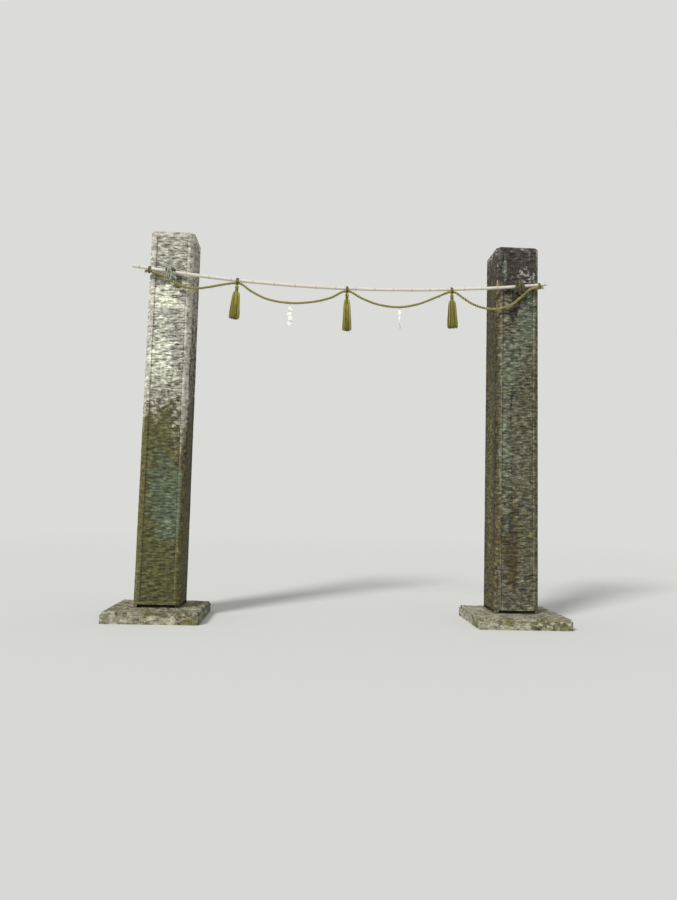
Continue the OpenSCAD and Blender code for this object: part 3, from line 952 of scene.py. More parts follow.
@dataclass
class StrawRope:
    """The laid straw rope that hangs under the pole in four swags.

    Each entry of the route is x, the drop below where the rope touches the pole, and the distance
    in front of the pole's line.
    """

    pole: BambooPole
    diameter: float = 0.030
    snug: float = 0.0005
    lay: float = 0.072
    ring_step: float = 0.0042
    sides: int = 30
    whiskers: int = 520
    whisker_length: tuple[float, float] = (0.012, 0.045)
    route: tuple[tuple[float, float, float], ...] = (
        (-2.405, 0.0, 0.0), (-2.375, 0.0, 0.0), (-2.320, 0.002, 0.004), (-2.240, 0.018, 0.020),
        (-2.150, 0.058, 0.030), (-2.060, 0.100, 0.024), (-1.950, 0.127, 0.008), (-1.81, 0.122, 0.0),
        (-1.650, 0.082, 0.0), (-1.500, 0.036, 0.0), (-1.380, 0.004, 0.0), (-1.325, 0.0, 0.0),
        (-1.275, 0.006, 0.0), (-1.160, 0.078, 0.0), (-0.960, 0.158, 0.0), (-0.700, 0.184, 0.0),
        (-0.440, 0.156, 0.0), (-0.200, 0.090, 0.0), (-0.050, 0.006, 0.0), (0.0, 0.0, 0.0),
        (0.050, 0.006, 0.0), (0.190, 0.082, 0.0), (0.400, 0.154, 0.0), (0.640, 0.180, 0.0),
        (0.870, 0.144, 0.0), (1.090, 0.062, 0.0), (1.235, 0.004, 0.0), (1.285, 0.0, 0.0),
        (1.335, 0.007, 0.0), (1.430, 0.076, 0.0), (1.560, 0.162, 0.0), (1.720, 0.220, 0.0),
        (1.880, 0.232, 0.0), (2.030, 0.192, 0.008), (2.150, 0.106, 0.022), (2.235, 0.034, 0.018),
        (2.310, 0.003, 0.004), (2.375, 0.0, 0.0), (2.405, 0.0, 0.0),
    )

    def __post_init__(self) -> None:
        """Runs the centre line through the route."""
        x, drop, forward = np.array(self.route).T
        z = self.pole.height(x) - self.touch_drop(x) - drop
        self.line = smooth_line(np.stack([x, self.pole.depth - forward, z], axis=1), self.ring_step)

    def touch_drop(self, x: Array | float) -> Array:
        """From the pole's centre line down to the rope's, where they touch."""
        return self.pole.radius(x) + self.diameter / 2 + self.snug

    def height(self, x: float) -> float:
        """Height of the rope's centre line at x."""
        return float(np.interp(x, self.line[:, 0], self.line[:, 2]))

    def build(self, skin: Material) -> None:
        """Makes the rope and the loose straws that stand out of it.

        Args:
            skin: the straw's finish.
        """
        draft = Draft()
        draft.rope(self.line, self.diameter, self.lay, 3, self.sides, ALONG_Y, 0.7)
        rope = hand_over(draft, "rope_of_straw", skin, ("straw_rope",))
        loose = hand_over(self.loose_straws(), "rope_loose_straws", skin, crease=50)

    def loose_straws(self) -> Draft:
        """Short straws that leave the rope at a slant and droop, and its two frayed ends.

        A straw starts just under the surface at a random place and angle round the rope. Its
        point at share t is the start plus t times its length along a mix of the rope's direction
        and the outward one, less a drop that grows with t squared.

        Returns:
            The straws.
        """
        count = self.whiskers
        random = np.random.default_rng(41)
        index = random.integers(8, len(self.line) - 8, count)
        ahead = unit(self.line[index + 4] - self.line[index - 4])
        out = around(ahead, random.uniform(0, TURN, (count, 1)), ALONG_Y)
        length = random.uniform(*self.whisker_length, (count, 1, 1))
        lean = random.uniform(0.2, 0.7, (count, 1))
        way = unit(ahead * random.choice([-1, 1], (count, 1)) + lean * out)
        line = drooping(self.line[index] + out * self.diameter * 0.36, way, length, 0.35)
        radius = np.linspace(0.0011, 0.0004, 5) * random.uniform(0.7, 1.1, (count, 1))
        draft = Draft()
        draft.straws(line, radius, random.uniform(0, 1, (count, 1, 1)))
        for end, before, seed in ((0, 3, 5), (-1, -4, 6)):
            last, inner = self.line[end], self.line[before]
            draft.fray(last * 0.7 + inner * 0.3, last - inner, 0.35, self.diameter * 0.7, 0.045,
                       70, seed)
        return draft


@dataclass
class Lashing:
    """Straw rope that holds the pole on a hook: turns round the pole on both sides of the hook,
    and a thinner rope crossed over them in a figure of eight, with its ends hanging.

    Angles are measured round the pole from the back over the top. A place on a turn is the
    pole's place plus its radius times the cosine towards the back and the sine upwards.
    """

    side: str
    x: float
    pole: BambooPole
    rope: float = 0.022
    lay: float = 0.072
    cross: float = 0.017
    cross_lay: float = 0.056
    swings: tuple[float, ...] = (0.062, 0.050, 0.040, 0.047, 0.018)
    hook_half: float = 0.012
    seat: float = 0.0003

    def __post_init__(self) -> None:
        """Works out where the rope lies on the pole, and how far the turns are from the hook."""
        self.inward = 1 if self.x < 0 else -1
        self.grip = float(self.pole.radius(self.x)) + self.seat + self.rope / 2
        self.pitch = self.rope + self.seat
        self.first = self.hook_half + 2 * self.seat + self.pitch / 2

    def round_pole(self, angle: Array, x: Array, radius: Array, step: float) -> Array:
        """A line round the pole.

        Args:
            angle: the angle of each point.
            x: its distance along the pole.
            radius: its distance from the pole's centre line.
            step: about how far apart the points of the result are.

        Returns:
            (points, 3) places.
        """
        local = np.stack([x, radius * np.cos(angle), radius * np.sin(angle)], axis=-1)
        return self.pole.at(self.x, even_steps(local, step))

    def wound(self) -> Array:
        """Two turns left of the hook, a crossing over the top, and two turns right of it.

        The rope moves aside by its own width each time it passes behind the pole, and goes the
        rest of the way over the hook on top of the pole.

        Returns:
            The rope's centre line.
        """
        angle = np.radians(np.linspace(-700, 700, 900))
        aside = sum(ease((angle - math.radians(back - 25)) / math.radians(50))
                    for back in (-360, 0, 360))
        over = ease((angle - math.radians(25)) / math.radians(125))
        x = -self.first - self.pitch + self.pitch * aside + (2 * self.first - self.pitch) * over
        return self.round_pole(angle, x, np.full(angle.shape, self.grip), 0.0035)

    def crossed(self) -> Array:
        """Four figures of eight, each a little tighter than the one below it.

        The place along the pole swings by the cosine of half the angle. The radius rises round
        the outer edge of the turns, stays level over them, and grows with every pass.

        Returns:
            The rope's centre line.
        """
        angle = np.radians(np.linspace(20, 1500, 1500))
        passes = np.degrees(angle) / 360
        swing = np.interp(passes, [0, 1, 2, 3, 4.2], self.swings)
        x = -swing * np.cos(angle / 2 + 0.16 * passes)
        miss = np.maximum(np.abs(x) - self.first - self.pitch, 0)
        both = (self.rope + self.cross) / 2 + self.seat
        radius = self.grip + np.sqrt(np.maximum(both ** 2 - miss ** 2, 0))
        middle = np.exp(-(x / 0.030) ** 2)
        pile = 0.16 * passes + 0.42 * middle * ease((passes - 0.6) / 1.2)
        return self.round_pole(angle, x, radius + self.cross * pile, 0.003)

    def ends(self) -> list[Array]:
        """The two rope ends that hang out of the crossing towards the middle of the gate.

        Returns:
            The centre line of each, through listed points: the distance towards the
            middle of the gate, the distance in front of the crossing, and the height.
        """
        front = self.grip + (self.rope + self.cross) / 2
        ends = (((0.0, 0.016, 0.016), (0.006, 0.020, -0.012), (0.012, 0.012, -0.040),
                 (0.018, 0.002, -0.078)),
                ((0.0, 0.012, 0.008), (0.026, 0.014, -0.012), (0.052, 0.004, -0.034),
                 (0.074, -0.008, -0.066)))
        lines = [np.array([(a * self.inward, -front - b, c) for a, b, c in end]) for end in ends]
        return [self.pole.at(self.x, smooth_line(line, 0.003)) for line in lines]

    def build(self, straw: Material, new_straw: Material) -> None:
        """Makes the turns, the figure of eight and its ends.

        Args:
            straw: the finish of the turns.
            new_straw: the finish of the crossing.
        """
        draft = Draft()
        draft.rope(self.wound(), self.rope, self.lay, 3, 24, ALONG_X, 0.3)
        hand_over(draft, self.side + "_lashing_turns", straw, (self.side + "_lashing",))
        draft = Draft()
        draft.rope(self.crossed(), self.cross, self.cross_lay, 3, 24, ALONG_X, 0.65)
        for number, line in enumerate(self.ends()):
            taper = np.linspace(0.95, 0.75 - 0.25 * number, len(line))
            draft.rope(line, taper * (0.014 - 0.005 * number), 0.05, 3, 18, (0.0, 1.0, 0.25),
                       0.35 + 0.6 * number)
            draft.fray(line[-2], line[-1] - line[-3], 0.4, 0.009, 0.035, 40, 60 + number)
        self.tufts(draft)
        hand_over(draft, self.side + "_crossed_rope", new_straw, (self.side + "_knot",))

    def tufts(self, draft: Draft) -> None:
        """Adds loose straws that stick out of the crossing, most of them up and down at its front.

        A tuft's place is its distance towards the middle of the gate, its share of the way to the
        crossing's front, and its height. Then come its direction and the number of its straws.

        Args:
            draft: takes the straws.
        """
        front = self.grip + self.rope / 2
        tufts = ((-0.018, 0.6, 0.040, (-0.25, -0.35, 1.0), 46),
                 (0.024, 0.5, 0.040, (0.35, -0.3, 1.0), 40),
                 (-0.030, 0.9, -0.020, (-0.5, -0.4, -1.0), 46),
                 (0.034, 0.9, -0.022, (0.5, -0.45, -1.0), 46),
                 (0.0, 1.0, -0.034, (0.1, -0.25, -1.0), 60),
                 (0.0, 1.1, 0.004, (0.0, -1.0, 0.3), 30))
        for seed, (x, out, rise, ahead, count) in enumerate(tufts):
            start = self.pole.at(self.x, np.array([x * self.inward, -front * out, rise]))
            way = np.array(ahead) * (self.inward, 1, 1)
            draft.fray(start, way, 0.75, 0.045, 0.058, count, 80 + seed)


@dataclass
class Tie:
    """String wound round the pole and the rope, with a knot at the front and two short ends.

    The string follows two circles, one round the pole and one round the rope, and the lines that
    touch both, and moves along the pole by one pitch in each turn.
    """

    name: str
    x: float
    pole: BambooPole
    rope: StrawRope
    string: float = 0.0078
    turns: float = 3.6
    pitch: float = 0.0080
    knot_string: float = 0.0068
    tail_string: float = 0.0055
    lay: float = 0.030

    def loop(self, thick: float) -> Array:
        """One turn as a closed line in the plane square to the pole, from the back over the top.

        Args:
            thick: half the thickness of the string.

        Returns:
            (points, 2) places: towards the back, and up.
        """
        drop = float(self.rope.touch_drop(self.x))
        top = float(self.pole.radius(self.x)) + self.rope.snug + thick
        low = self.rope.diameter / 2 + self.rope.snug + thick
        lean = math.asin((top - low) / drop)
        over = np.linspace(-lean, math.pi + lean, 60)
        under = np.linspace(math.pi + lean, TURN - lean, 60)
        line = np.concatenate([top * on_circle(over), low * on_circle(under) - (0, drop)])
        return even_steps(np.concatenate([line, line[:1]]), 0.002)

    def build(self, skin: Material) -> None:
        """Makes the wound string, its knot and its ends.

        The knot is one and a half turns of a circle that swing a little to the front and back.

        Args:
            skin: the string's finish.
        """
        loop = self.loop(self.string / 2)
        share = np.linspace(0.1, 0.1 + self.turns, 900)
        where = np.linspace(0, 1, len(loop))
        local = np.stack([(share - share.mean()) * self.pitch,
                          np.interp(share % 1, where, loop[:, 0]),
                          np.interp(share % 1, where, loop[:, 1])], axis=1)
        draft = Draft()
        draft.rope(self.pole.at(self.x, even_steps(local, 0.0032)), self.string, self.lay, 2, 16,
                   ALONG_X, 0.4)
        front = loop[:, 0].min() - self.string
        t = np.linspace(0, TURN * 1.5, 60)[:, None]
        knot = np.concatenate([0.0085 * np.sin(t), front - 0.002 + 0.0035 * np.cos(1.5 * t),
                               -0.012 + 0.0085 * np.cos(t)], axis=1)
        draft.rope(self.pole.at(self.x, even_steps(knot, 0.002)), self.knot_string, self.lay, 2,
                   12, ALONG_Y, 0.6)
        for sign, fall in ((-1, 0.040), (1, 0.030)):
            tail = np.array([(0, front, -0.014), (sign * 0.010, front - 0.003, -0.020),
                             (sign * 0.017, front - 0.004, -0.032),
                             (sign * 0.019, front - 0.001, -0.02 - fall)])
            line = self.pole.at(self.x, smooth_line(tail, 0.0025))
            draft.rope(line, self.tail_string, self.lay, 2, 12, ALONG_Y, 0.7)
            draft.fray(line[-2], line[-1] - line[-3], 0.4, 0.004, 0.018, 14,
                       int(60 + 9 * self.x + sign), 0.0007)
        hand_over(draft, self.name + "_string", skin, (self.name,))


@dataclass
class Tassel:
    """A bundle of straw doubled over at its head, bound at its neck, spreading to its lower end.

    The distance from its axis at a distance s down is a profile: head, waist, and a skirt that
    widens. Every straw keeps its own share of that profile.
    """

    name: str
    tie_x: float
    length: float
    width: float
    lean: float
    pole: BambooPole
    rope: StrawRope
    straws: int = 570
    locks: int = 20
    twist: float = 0.5
    layer_from: float = 0.0
    head: float = 0.046
    head_width: float = 0.044
    shoulder: float = 0.0102
    neck: float = 0.021
    waist: float = 0.0129
    string_room: float = 0.009
    seat: float = 0.0003
    binding: float = 0.0066
    binding_turns: float = 2.15
    binding_lay: float = 0.026
    seed: int = 3

    def profile(self, s: Array) -> Array:
        """The form of the bundle: straight between listed stops.

        Args:
            s: distances below the top of the head.

        Returns:
            The radius at each.
        """
        neck = self.head + self.neck
        stops = [(0.0, 0.004), (0.004, self.shoulder), (self.head * 0.35, self.head_width / 2),
                 (self.head * 0.75, self.head_width / 2), (self.head, self.waist),
                 (neck, self.waist), (neck + 0.018, self.width * 0.30),
                 (self.length * 0.32, self.width * 0.39), (self.length * 0.6, self.width * 0.45),
                 (self.length * 0.95, self.width * 0.49), (self.length * 1.01, self.width * 0.48)]
        where, radius = np.array(stops).T
        return np.interp(s, where, radius)

    def axes(self) -> tuple[Array, Array, Array, Array]:
        """Where the tassel hangs: under its tie, with room for its head to lean.

        Returns:
            The top of the head, and the directions down the tassel, to its right and to its back.
        """
        slope, angle = self.pole.slope(self.tie_x), math.radians(self.lean)
        reach = (float(self.rope.touch_drop(self.tie_x)) + self.rope.diameter / 2 + self.rope.snug
                 + self.string_room)
        room = self.shoulder * abs(math.sin(slope - angle)) + self.seat
        top = np.array([self.tie_x + reach * math.sin(slope), self.pole.depth,
                        float(self.pole.height(self.tie_x)) - reach * math.cos(slope) - room])
        down = np.array([math.sin(angle), 0, -math.cos(angle)])
        return top, down, np.array([math.cos(angle), 0, math.sin(angle)]), np.array(ALONG_Y)

    def place(self, s: Array, angle: Array, radius: Array) -> Array:
        """Places on the tassel.

        Args:
            s: distances below the top of the head.
            angle: angles round the axis, from the right over the back.
            radius: distances from the axis.

        Returns:
            The places, three coordinates on the last axis.
        """
        top, down, right, back = self.axes()
        return (top + s[..., None] * down + (radius * np.cos(angle))[..., None] * right
                + (radius * np.sin(angle))[..., None] * back)

    def bundle(self, draft: Draft, count: int, start: float, ends: tuple[float, float],
               shell: float, seed: int, thick: float = 0.0019) -> None:
        """Adds straws that each follow the profile at their own share of its radius.

        The angle of a straw turns by the twist from the head to a third of the way down, and
        strays a little more and more after that. Straws side by side in one lock share a shade.

        Args:
            draft: takes the straws.
            count: the number of straws.
            start: about how far down they start, each a little higher or lower.
            ends: the least and the most share of the tassel's length that they reach.
            shell: the part of the radius that they fill, from the outside.
            seed: picks the set of random values.
            thick: the radius of a straw.
        """
        random = np.random.default_rng(seed)
        angle = random.uniform(0, TURN, (count, 1))
        share = 1 - shell * random.uniform(0, 1, (count, 1)) ** 1.5
        end = self.length * random.uniform(*ends, (count, 1))
        end = end * (1 - 0.010 * (1 + np.sin(angle * 3 + seed)))
        from_head = start == 0
        close = [0, 0.012, 0.03, 0.05, 0.075, 0.1, 0.125, 0.15, 0.18] if from_head else [0, 0.05]
        t = np.concatenate([close, np.linspace(0.26, 1, 7 if from_head else 4)])[None]
        first = start * random.uniform(0.84, 1.08, (count, 1))
        s = first + (end - first) * t
        fall = ease(s / self.length)
        stray = random.normal(0, 0.10, (count, 1)) * fall ** 2
        turned = angle + self.twist * ease(s / (0.33 * self.length)) + stray
        loose = 1 + 0.10 * random.normal(0, 1, (count, 1)) * fall ** 3
        radius = self.profile(s) * share * loose
        radius = np.where(t < 0.01, radius * 0.3, radius)
        line = self.place(s, turned, np.minimum(radius, self.width * 0.53))
        taper = np.interp(t[0], [0, 0.1, 0.9, 1], [0.8, 1, 0.9, 0.55])
        thin = taper * thick * random.uniform(0.7, 1.15, (count, 1))
        lock = np.floor(np.concatenate([angle, angle * 0], axis=1) * self.locks / TURN)
        shade = 1.5 * scattered(lock, seed)[:, None] + 0.9 * random.uniform(0, 1, (count, 1)) - 0.78
        draft.straws(line, thin, shade[..., None], OFF_TASSELS, 0.25)

    def build(self, skin: Material) -> None:
        """Makes a dark core, painted shade inside the bundle, then the straws and the binding.

        Args:
            skin: the straw's finish.
        """
        draft = Draft()
        s = np.linspace(0.003, self.length * 0.95, 60)[:, None]
        angle = -np.arange(24) * TURN / 24
        painted_shade_core = self.place(*np.broadcast_arrays(s, angle, 0.86 * self.profile(s)))
        # Painted shade: the core takes the darkest straw tone, for the shade between the straws.
        draft.tube(painted_shade_core, straight=painted_shade_core, stalk=0.0)
        self.bundle(draft, self.straws, 0.0, (0.93, 1.0), 0.16, self.seed)
        self.bundle(draft, self.straws // 2, 0.8 * self.length, (0.95, 1.0), 0.9, self.seed + 1)
        if self.layer_from:
            self.bundle(draft, self.straws // 3, self.layer_from * self.length, (0.86, 0.98), 0.04,
                        self.seed + 2)
        hand_over(draft, self.name + "_of_straw", skin, (self.name,), crease=60)
        self.bind(skin)

    def bind(self, skin: Material) -> None:
        """Winds string round the neck as a helix, turns beside each other, with one short end.

        Args:
            skin: the string's finish.
        """
        t = np.linspace(0, 1, 220)
        radius = np.full(t.shape, self.waist + self.seat + self.binding / 2)
        s = self.head + self.binding / 2 + (self.neck - self.binding) * t
        wound = -t * self.binding_turns * TURN
        draft = Draft()
        draft.rope(even_steps(self.place(s, wound, radius), 0.003), self.binding,
                   self.binding_lay, 2, 14, ALONG_Z, 0.1)
        end = self.place(s[-1] + np.array([0, 0.004, 0.014, 0.030]), np.full(4, wound[-1]),
                         radius[:4] + np.array([0, 0.004, 0.009, 0.012]))
        draft.rope(smooth_line(end, 0.0025), 0.0045, self.binding_lay, 2, 12, ALONG_Y, 0.5)
        node = self.name.replace("tassel", "binding")
        hand_over(draft, node + "_string", skin, (node,))


@dataclass
class Streamer:
    """A strip of white paper folded into four leaves, each stepped aside from the one above.

    Between two leaves the strip turns back on itself, rises behind the upper leaf and turns down
    again. It hangs from a loop of string over the rope, turned by some degrees, curls by some
    more towards its lower end, and drifts aside on the way down.
    """

    name: str
    x: float
    turn: float
    rope: StrawRope
    width: float = 0.054
    leaf: float = 0.069
    step: float = 0.010
    slant: float = 0.012
    curl: float = 0.0
    drift: float = 0.0
    leaves: int = 4
    overlap: float = 0.14
    paper: float = 0.0006
    fold: float = 0.0024
    drop: float = 0.016
    string: float = 0.0034
    string_lay: float = 0.012
    seat: float = 0.0006
    columns: int = 9

    def centre_line(self) -> tuple[Array, Array]:
        """The strip's middle line.

        A leaf slants down by its length and bulges by half a sine wave. The turn back starts just
        under the leaf, rises behind it and ends just over the head of the next leaf.

        Returns:
            Its points, and how much painted shade each takes, from 0 to 1: near a crease and on the
            turn backs.
        """
        k = np.arange(self.leaves)[:, None]
        side = 1.0 - 2 * (k % 2)
        t = np.linspace(0, 1, 13)[None]
        down = -k * self.leaf * (1 - self.overlap) - self.leaf * t
        crease = 0.9 * np.maximum(0, 1 - 9 * np.minimum(t, 1 - t)) + 0 * k
        leaf = np.stack([side * (self.step / 2 + self.slant * (t - 0.5)),
                         self.fold * k - 0.0035 * side * np.sin(math.pi * t), down, crease],
                        axis=-1)
        share = np.linspace(0, 1, 5)[:, None]
        back = leaf[:-1, -1:] * (1 - share) + leaf[1:, :1] * share
        back[..., 1] = self.fold * (k[:-1] + 0.5)
        back[..., 2] += 0.0008 * np.array([-1, 0, 0, 0, 1])
        # Painted shade: the turn back behind the leaf above is greyed almost as much as a crease.
        back[..., 3] = 0.8
        rows = np.concatenate([np.concatenate([leaf[:-1], back], axis=1).reshape(-1, 4), leaf[-1]])
        return rows[:, :3], rows[:, 3]

    def build(self, paper: Material, string: Material) -> None:
        """Makes the folded strip as a thin closed solid, and the loop of string that carries it.

        The strip is its middle line plus the share across times half the width. The share narrows
        to a point over the first part of the top leaf and the last part of the lowest one. The
        two skins lie half a paper's thickness off along the surface's normal.

        Args:
            paper: the strip's finish.
            string: the loop's finish.
        """
        line, crease = self.centre_line()
        run = run_length(line[:, 1:])
        share = run / run[-1]
        head = 0.16 + 0.84 * np.clip(run / 0.050, 0, 1)
        tip = 0.12 + 0.88 * np.clip((run[-1] - run) / 0.028, 0, 1)
        narrow = np.minimum(head, tip)[:, None]
        across = np.linspace(-1, 1, self.columns)
        strip = np.repeat(line[:, None], self.columns, axis=1)
        strip[..., 0] += across * narrow * self.width / 2 + self.drift * share[:, None]
        strip[..., 1] += 0.0012 * np.sin(2.1 * across + run[:, None] * 20) * narrow
        flat = np.cross(unit(np.gradient(line, axis=0)), ALONG_X)[:, None] * self.paper / 2
        skin = np.concatenate([strip - flat, (strip + flat)[:, ::-1]], axis=1)
        angle = np.radians(self.turn + self.curl * run / run[-1])[:, None]
        x, y = skin[..., 0], skin[..., 1]
        skin[..., :2] = np.stack([x * np.cos(angle) - y * np.sin(angle),
                                  x * np.sin(angle) + y * np.cos(angle)], axis=-1)
        top = self.rope.height(self.x) - self.rope.diameter / 2 - self.drop
        draft = Draft()
        draft.tube(skin + (self.x, self.rope.pole.depth, top), fold=crease[:, None])
        folded = hand_over(draft, self.name + "_folded", paper, (self.name,), crease=35)
        self.loop(string)

    def loop(self, string: Material) -> bpy.types.Object:
        """A loop of string over the rope whose two legs meet at the paper's top.

        Args:
            string: its finish.

        Returns:
            The loop's object.
        """
        ring = self.rope.diameter / 2 + self.seat + self.string / 2
        low = -self.rope.diameter / 2 - self.drop - 0.004
        t = np.radians(np.linspace(-126, 126, 60))[:, None]
        over = np.concatenate([0.0022 * np.sin(t * 0.8), ring * np.sin(t), ring * np.cos(t)],
                              axis=1)
        leg = np.array([[-0.0019, 0, low], [-0.0019, -0.001, low + 0.010]])
        line = even_steps(np.concatenate([leg, over, (leg * (-1, -1, 1))[::-1]]), 0.002)
        draft = Draft()
        draft.rope(line + (self.x, self.rope.pole.depth, self.rope.height(self.x)), self.string,
                   self.string_lay, 2, 12, ALONG_X, 0.8)
        node = self.name.replace("streamer", "carry_cord")
        return hand_over(draft, node + "_string", string, (node,))


@dataclass(frozen=True)
class Patch:
    """A soft-edged patch of one film on one face of a post, in metres.

    Its middle is that far right of the face's centre line, at that height above the ground.
    """

    film: Film
    face: Face
    middle: float
    height: float
    half_width: float
    half_height: float
    strength: float


def patches(*groups: tuple) -> tuple[Patch, ...]:
    """Writes out patches that share a film and a face.

    Args:
        *groups: a film, a face, and for each patch its middle, height, half width, half height
            and strength.

    Returns:
        The patches.
    """
    return tuple(Patch(film, face, *row) for film, face, *rows in groups for row in rows)


@dataclass
class StonePost:
    """A squared post: smooth margins round sunk, pointed panels, cut corners, low corner feet.

    The surface is a grid. Its columns run round the post, dense at margins and cut corners, and
    its rows run up it. Every change of form is a depth inwards, so the post never outgrows the
    packed one.
    """

    node: str
    slot: str
    seed: int
    patches: tuple[Patch, ...]
    damp: float = 0.9
    damp_line: float = 2.75
    grime: float = 0.3
    top_width: float = 0.530
    cut: float = 0.045
    margin: float = 0.032
    end_band: float = 0.070
    panel_depth: float = 0.004
    lip: float = 0.003
    gap_height: float = 0.034
    gap_depth: float = 0.045
    top_bevel: float = 0.006
    panel_columns: int = 30
    row_step: float = 0.0082
    stroke_depth: float = 0.0040
    smooth_depth: float = 0.0005
    stroke_net: tuple[float, float] = (0.062, 0.033)
    stretch: float = 2.1

    def __post_init__(self) -> None:
        """Takes the post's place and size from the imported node."""
        low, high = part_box(self.node)
        self.centre = np.array([(low.x + high.x) / 2, (low.y + high.y) / 2, 0.0])
        self.foot_width = high.x - low.x
        self.foot, self.top = low.z, high.z

    def rows(self) -> Array:
        """The rows of the grid: evenly spaced, with a close pair at each sharp step.

        Returns:
            Their heights above the foot.
        """
        tall = self.top - self.foot
        bands = [(0, self.gap_height), (self.gap_height + 0.002, self.end_band),
                 (self.end_band + self.lip, tall - self.end_band - self.lip),
                 (tall - self.end_band, tall - self.top_bevel)]
        parts = [np.linspace(a, b, max(int((b - a) / self.row_step), 2) + 1) for a, b in bands]
        return np.concatenate(parts + [[tall]])

    def strokes(self, u: Array, z: Array, seed: int) -> Array:
        """The strokes of the point.

        Each cell of a net with shifted rows holds one stroke with its own middle, length and
        slant. A stroke's depth is a parabola along it and across it, and the deepest stroke in
        reach counts.

        Args:
            u: distances across the face.
            z: heights.
            seed: picks the set of random values.

        Returns:
            How deep the strokes go at each place, from 0 to 1.
        """
        wide, high = self.stroke_net
        u, z = np.broadcast_arrays(u, z)
        deepest = np.zeros(u.shape)
        for down, beside in np.ndindex(3, 3):
            row = np.floor(z / high) + down - 1
            shift = wide * scattered(np.stack([row, row * 0], axis=-1), seed)
            column = np.floor((u + shift) / wide) + beside - 1
            cell = np.stack([column, row], axis=-1)
            a, b, c, d = [scattered(cell, seed + k) for k in (1, 2, 3, 4)]
            off_u = u - ((column + 0.25 + 0.5 * a) * wide - shift)
            off_z = z - (row + 0.2 + 0.6 * b) * high
            slant = np.radians(8 + 36 * (c - 0.5))
            along = off_u * np.cos(slant) + off_z * np.sin(slant)
            aside = off_z * np.cos(slant) - off_u * np.sin(slant)
            shape = np.clip(1 - (along / (0.018 + 0.020 * d)) ** 2, 0, 1)
            shape = shape * np.clip(1 - (aside / 0.0120) ** 2, 0, 1)
            deepest = np.maximum(deepest, shape * (0.45 + 0.55 * a))
        return deepest

    def films(self, points: Array, outward: Array, tooled: Array) -> dict[str, Array]:
        """The share of the stone that each film covers.

        Algae and earth take over below the damp line, whose height wanders, and hold better on
        pointed stone than on smooth. Soot lies in long upright streaks. Each patch adds an
        ellipse: full inside, fading where the distance in half sizes, stirred by noise, passes 1.

        Args:
            points: the post's places.
            outward: the direction that each place looks in.
            tooled: how much of the point's work each place shows.

        Returns:
            A value from 0 to 1 for every place, under each film's name and "damp".
        """
        up = points[..., 2]
        ragged = clouds(points, (0.10, 0.10, 0.16), self.seed + 50, 4)
        broad = clouds(points, (0.35, 0.35, 0.7), self.seed + 60)
        streaks = clouds(points, (0.05, 0.05, 1.1), self.seed + 70)
        upright = clouds(points, (0.035, 0.035, 1.4), self.seed + 75)
        colony = clouds(points, 0.22, self.seed + 80, 4)
        low = ease((self.damp_line + 0.8 * (broad - 0.5) - up) / 0.8)
        hold = 0.75 + 0.25 * tooled
        values = {film: np.zeros(up.shape) for film in Film}
        green = 0.45 + 0.75 * ease((broad - 0.32) / 0.36)
        brown = 0.30 + 0.60 * ease((streaks - 0.36) / 0.3)
        values[Film.ALGAE] += self.damp * (0.22 + 0.78 * low) * green * hold
        values[Film.EARTH] += self.damp * (0.12 + 0.88 * low) * brown * hold
        values[Film.LICHEN] += 0.28 * ease((colony - 0.50) / 0.18)
        values[Film.SOOT] += self.grime * ease((upright - 0.44) / 0.26)
        for patch in self.patches:
            u = (points - self.centre) @ patch.face.across - patch.middle
            reach = np.hypot(u / patch.half_width, (up - patch.height) / patch.half_height)
            inside = ease((1.45 - reach - 0.9 * (ragged - 0.5)) / 0.9)
            facing = ease((outward @ patch.face.outward - 0.55) / 0.3)
            values[patch.film] += patch.strength * inside * facing
        return {film.value: np.clip(value, 0, 1) for film, value in values.items()} | {"damp": low}

    def face_columns(self, z: Array, half: Array, face: Face) -> list[Array]:
        """One face and the cut corner on its right.

        A column of the face is a share of the panel's half width plus an offset into the margin
        or the panel's lip. A column of the corner is a share of the way to the next face.

        Args:
            z: the rows' heights above the foot.
            half: the post's half width at each row.
            face: which face.

        Returns:
            (rows, columns) values: places about the post's axis, the directions that they look
            in, how deep they are sunk, how deep they lie in a groove, with painted shade in the
            foot openings and a painted shadow along the panel's lip, and how tooled they are.
        """
        edge = np.array([1.0, 0.81, 0.79, 0.35, 0.0]) * self.margin
        inner = np.linspace(-1, 1, self.panel_columns)
        ones = np.ones(len(edge))
        share = np.concatenate([-ones, inner, ones])
        offset = np.concatenate([-edge, -inner * self.lip, edge[::-1]])
        panel_half = (half - self.cut - self.margin)[:, None]
        u = share * panel_half + offset
        column = np.arange(len(share))
        on_panel = (column >= len(edge)) & (column < len(share) - len(edge))
        clear = self.end_band + self.lip / 2
        in_band = (z > clear) & (z < z[-1] - self.end_band - self.lip / 2)
        panel = on_panel & in_band[:, None]
        inside_feet = on_panel | (np.abs(offset) < 0.8 * self.margin)
        gap = (z < self.gap_height + 0.001)[:, None] & inside_feet
        cuts = self.strokes(u / self.stretch, z[:, None], self.seed + 10 * face.value)
        lip_shadow = 1 - np.minimum(np.abs(np.abs(u) - panel_half) / 0.012, 1)
        out, following = face.outward, face.following
        stroke = np.where(panel, self.stroke_depth, self.smooth_depth)
        depth = panel * self.panel_depth + cuts * stroke
        forward = half[:, None, None]
        flat = u[..., None] * face.across + forward * out
        limit = (half - self.cut)[:, None, None]
        here = limit * face.across + forward * out
        there = -limit * following.across + forward * following.outward
        corner = here + (there - here) * np.array([0.25, 0.5, 0.75])[:, None]
        between = np.broadcast_to(unit(out + following.outward), corner.shape)
        plain = np.zeros(corner.shape[:-1])
